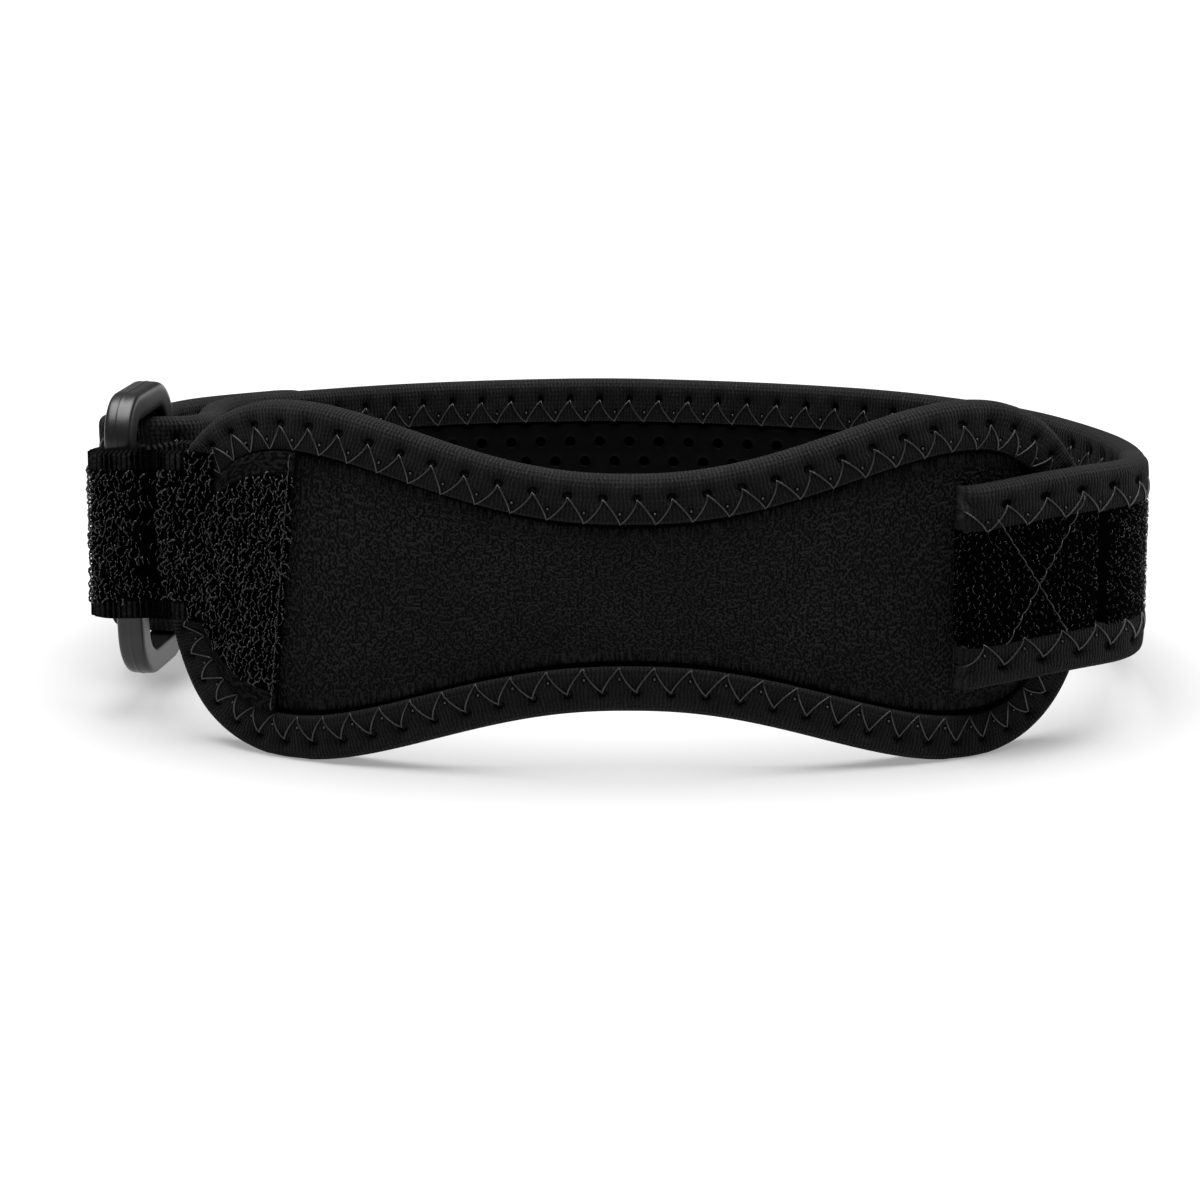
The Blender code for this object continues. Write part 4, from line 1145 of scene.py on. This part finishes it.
# few loops stand in the bend, and those in clumps
fallen = np.random.default_rng(7).random(napped.shape) < 0.8 * bend
napped = np.where(fallen & (napped > 0.5), 0.5, napped)
# painted shade darkens the pile and its ground in the bend
elastic = woven_mesh("elastic_pile", rows, np.append(elastic_at, elastic_at[-1]),
                     np.append(level * ELASTIC_WIDTH / 2 + np.where(out < 0, 0.0, 60.0), 200.0), PILE_GROUND,
                     columns_closed=True, capped=True, pile=napped, shade=0.9 * bend)
grown(elastic, PILE, Spacing=0.70, Most=3.0e6, Loop_radius=0.56, Yarn=0.155, Tip=0.8, Turn=0.8,
      Arc_points=6, Seed=11, Material=NYLON_LOOPS)
finish_piece(elastic, "elastic", "elastic_strap")

# %% [markdown]
# The ring is one moulding, a rounded rectangle bent to nothing, with soft edges and the fine step that
# the two halves of its mould left round the outside.

# %% The ring
RING_SQUARENESS, PARTING_RIDGE, PARTING_WIDTH = 0.36, 0.10, 0.16
RING_STATIONS, RING_AROUND = 220, 96


def ring_rows():
    front, rear, _, towards, outward = ring_frame()
    middle = (front + rear) / 2
    half_wide, half_high = (RING_WIDTH - RING_BAR) / 2, (RING_HEIGHT - RING_BAR) / 2
    corner = RING_CORNER - RING_BAR / 2
    line = []
    for quarter, (side, level) in enumerate(((1, 1), (-1, 1), (-1, -1), (1, -1))):
        turn = math.pi / 2 * (quarter + np.linspace(0, 1, 16))
        line.append(np.stack([side * (half_wide - corner) + corner * np.cos(turn),
                              level * (half_high - corner) + corner * np.sin(turn)], 1))
    line = evenly(np.concatenate(line), RING_STATIONS, closed=True)
    turn = np.linspace(0, 2 * math.pi, 720, endpoint=False)
    section = np.stack([np.cos(turn), np.sin(turn)], 1)
    section = np.sign(section) * np.abs(section) ** RING_SQUARENESS * RING_BAR / 2
    wide, thick = evenly(section, RING_AROUND, closed=True).T
    wide = wide + np.where(wide > 0, PARTING_RIDGE, 0.0) * np.exp(-(thick / PARTING_WIDTH) ** 2)
    flat = line[:, None] + normals_of(line, closed=True)[:, None] * wide[None, :, None]
    thick = np.broadcast_to(thick[None, :, None], flat[..., :1].shape)
    return settled(middle + towards * flat[..., :1] + outward * thick, RING_RAISE + flat[..., 1]), line


rows, ring_line = ring_rows()
ring = woven_mesh("strap_ring", rows, length_along(ring_line, closed=True),
                  np.linspace(0, 19, RING_AROUND + 1), ACETAL, rows_closed=True, columns_closed=True)
finish_piece(ring, "ring_plastic", "ring")

# %% [markdown]
# A few seams are straight: the cross that holds the strap's end to the pad, and the line down the patch's
# slanting edge. They use the seam tree with no swing.

# %% Straight seams
def strap_seam(name, start, end, stitches, outside=STRAP_THICKNESS / 2 + 0.1):
    share = np.linspace(0, 1, stitches * POINTS_A_STITCH + 1)
    at = start[0] + (end[0] - start[0]) * share
    _, middle, _ = strap_place(at, 0.0, outside)
    line, above = (settled(strap_place(at, 0.0, out)[0], middle + start[1] + (end[1] - start[1]) * share)
                   for out in (outside, outside + 1.0))
    sew(name, line, line, unit(above - line), "loop_pile", Swing=0.0, Rise=0.62, Sink=0.02, Thread=0.10)


strap_seam("cross_seam_down", (5.5, 11.5), (19.0, -10.0), 5)
strap_seam("cross_seam_up", (7.5, -10.0), (22.0, 13.0), 5)

level = np.linspace(-0.98, 0.98, 9 * POINTS_A_STITCH + 1)
line, above = (on_patch(1.0 - 0.5 / PATCH_LENGTH, level, PATCH_INNER + out)[0] for out in (0.75, 1.75))
sew("patch_seam", line, line, unit(above - line), "loop_pile", Swing=0.0, Rise=0.55, Sink=0.25, Thread=0.125)

# %% [markdown]
# The hook strip is hidden between the strap and its folded end. Its CAD shape is right, so it keeps it and
# only gets the look of moulded nylon hooks, which at this size is a fine, dull, pimpled plastic.

# %% The hook strip
def hook_nylon():
    # moulded nylon with hundreds of tiny hooks: dull, because the hooks break up the light
    material, tree, shader = new_material("moulded_nylon_hooks", 0.6, 0.3)
    place = add(tree, "ShaderNodeTexCoord", output="Object")
    hooks = add(tree, "ShaderNodeTexVoronoi", {"Vector": place, "Scale": 900.0}, "Distance")
    two_tone(tree, shader, (hooks,), "#141414", "#060606")
    raised(tree, shader, hooks, 0.0005)
    return material


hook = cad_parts["hook_tab"]
hook.data.materials.clear()
hook.data.materials.append(hook_nylon())
print(hook.name, "has", hook.data.materials[0].name)

# %% [markdown]
# The photograph has a white table and a very soft light from above. Its shadow is faint, and dark only
# where the lobes touch. A wide lamp overhead does the same over a white table that is lit from below, a
# little round the strap and fully further off, so that the background stays white.

# %% Floor
def light_table():
    # matt white acrylic lit from below: even and white, and it keeps the shadows faint
    material, tree, shader = new_material("backlit_white_acrylic", 0.9, 0.02)
    place = add(tree, "ShaderNodeTexCoord", output="Object")
    clouds = add(tree, NOISE, {"Vector": place, "Scale": 40.0, "Detail": 2.0})
    two_tone(tree, shader, (clouds,), "#a8a8a8", "#aaaaaa")
    shader.inputs["Emission Color"].default_value = linear("#ffffff")
    away = add(tree, VECTOR_MATH, (place,), "Value", operation="LENGTH")
    glow = add(tree, MAP_RANGE, (away, 0.12, 0.9, 0.32, 1.0), interpolation_type="SMOOTHSTEP")
    tree.links.new(glow, shader.inputs["Emission Strength"])
    return material


FLOOR_HALF = 6.0
floor_mesh = bpy.data.meshes.new("floor")
corners = [(FLOOR_HALF * x, FLOOR_HALF * y, 0.0) for x, y in ((-1, -1), (1, -1), (1, 1), (-1, 1))]
floor_mesh.from_pydata(corners, [], [(0, 1, 2, 3)])
floor_mesh.materials.append(light_table())
new_piece("floor", floor_mesh)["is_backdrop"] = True
print("floor", 2 * FLOOR_HALF, "m wide")

# %% Light
world = bpy.data.worlds.new("studio")
world.use_nodes = True
world.node_tree.nodes["Background"].inputs["Color"].default_value = linear("#ffffff")
world.node_tree.nodes["Background"].inputs["Strength"].default_value = 0.15
bpy.context.scene.world = world

LAMP_HIGH, LAMP_BACK = 0.9, 0.05
light = bpy.data.lights.new("overhead", "AREA")
light.shape, light.size, light.size_y, light.energy = "RECTANGLE", 1.2, 0.9, 25.0
lamp = bpy.data.objects.new("overhead", light)
lamp.location = (0.0, LAMP_BACK, LAMP_HIGH)
lamp.rotation_euler = (math.atan2(LAMP_BACK, LAMP_HIGH), 0.0, math.pi)
bpy.context.scene.collection.objects.link(lamp)
bpy.context.scene.view_settings.view_transform = "Standard"
print("lamp", LAMP_HIGH, "m above the table")

# %% [markdown]
# Last, the size of the dressed strap is printed beside the size of its solids, in millimetres.

# %% Size and finish
new_box = [list(corner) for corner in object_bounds()]
for name, low, high in (("cad", *CAD_BOX), ("visual", *new_box)):
    print(name, [round(1000 * (b - a), 1) for a, b in zip(low, high)], "mm")
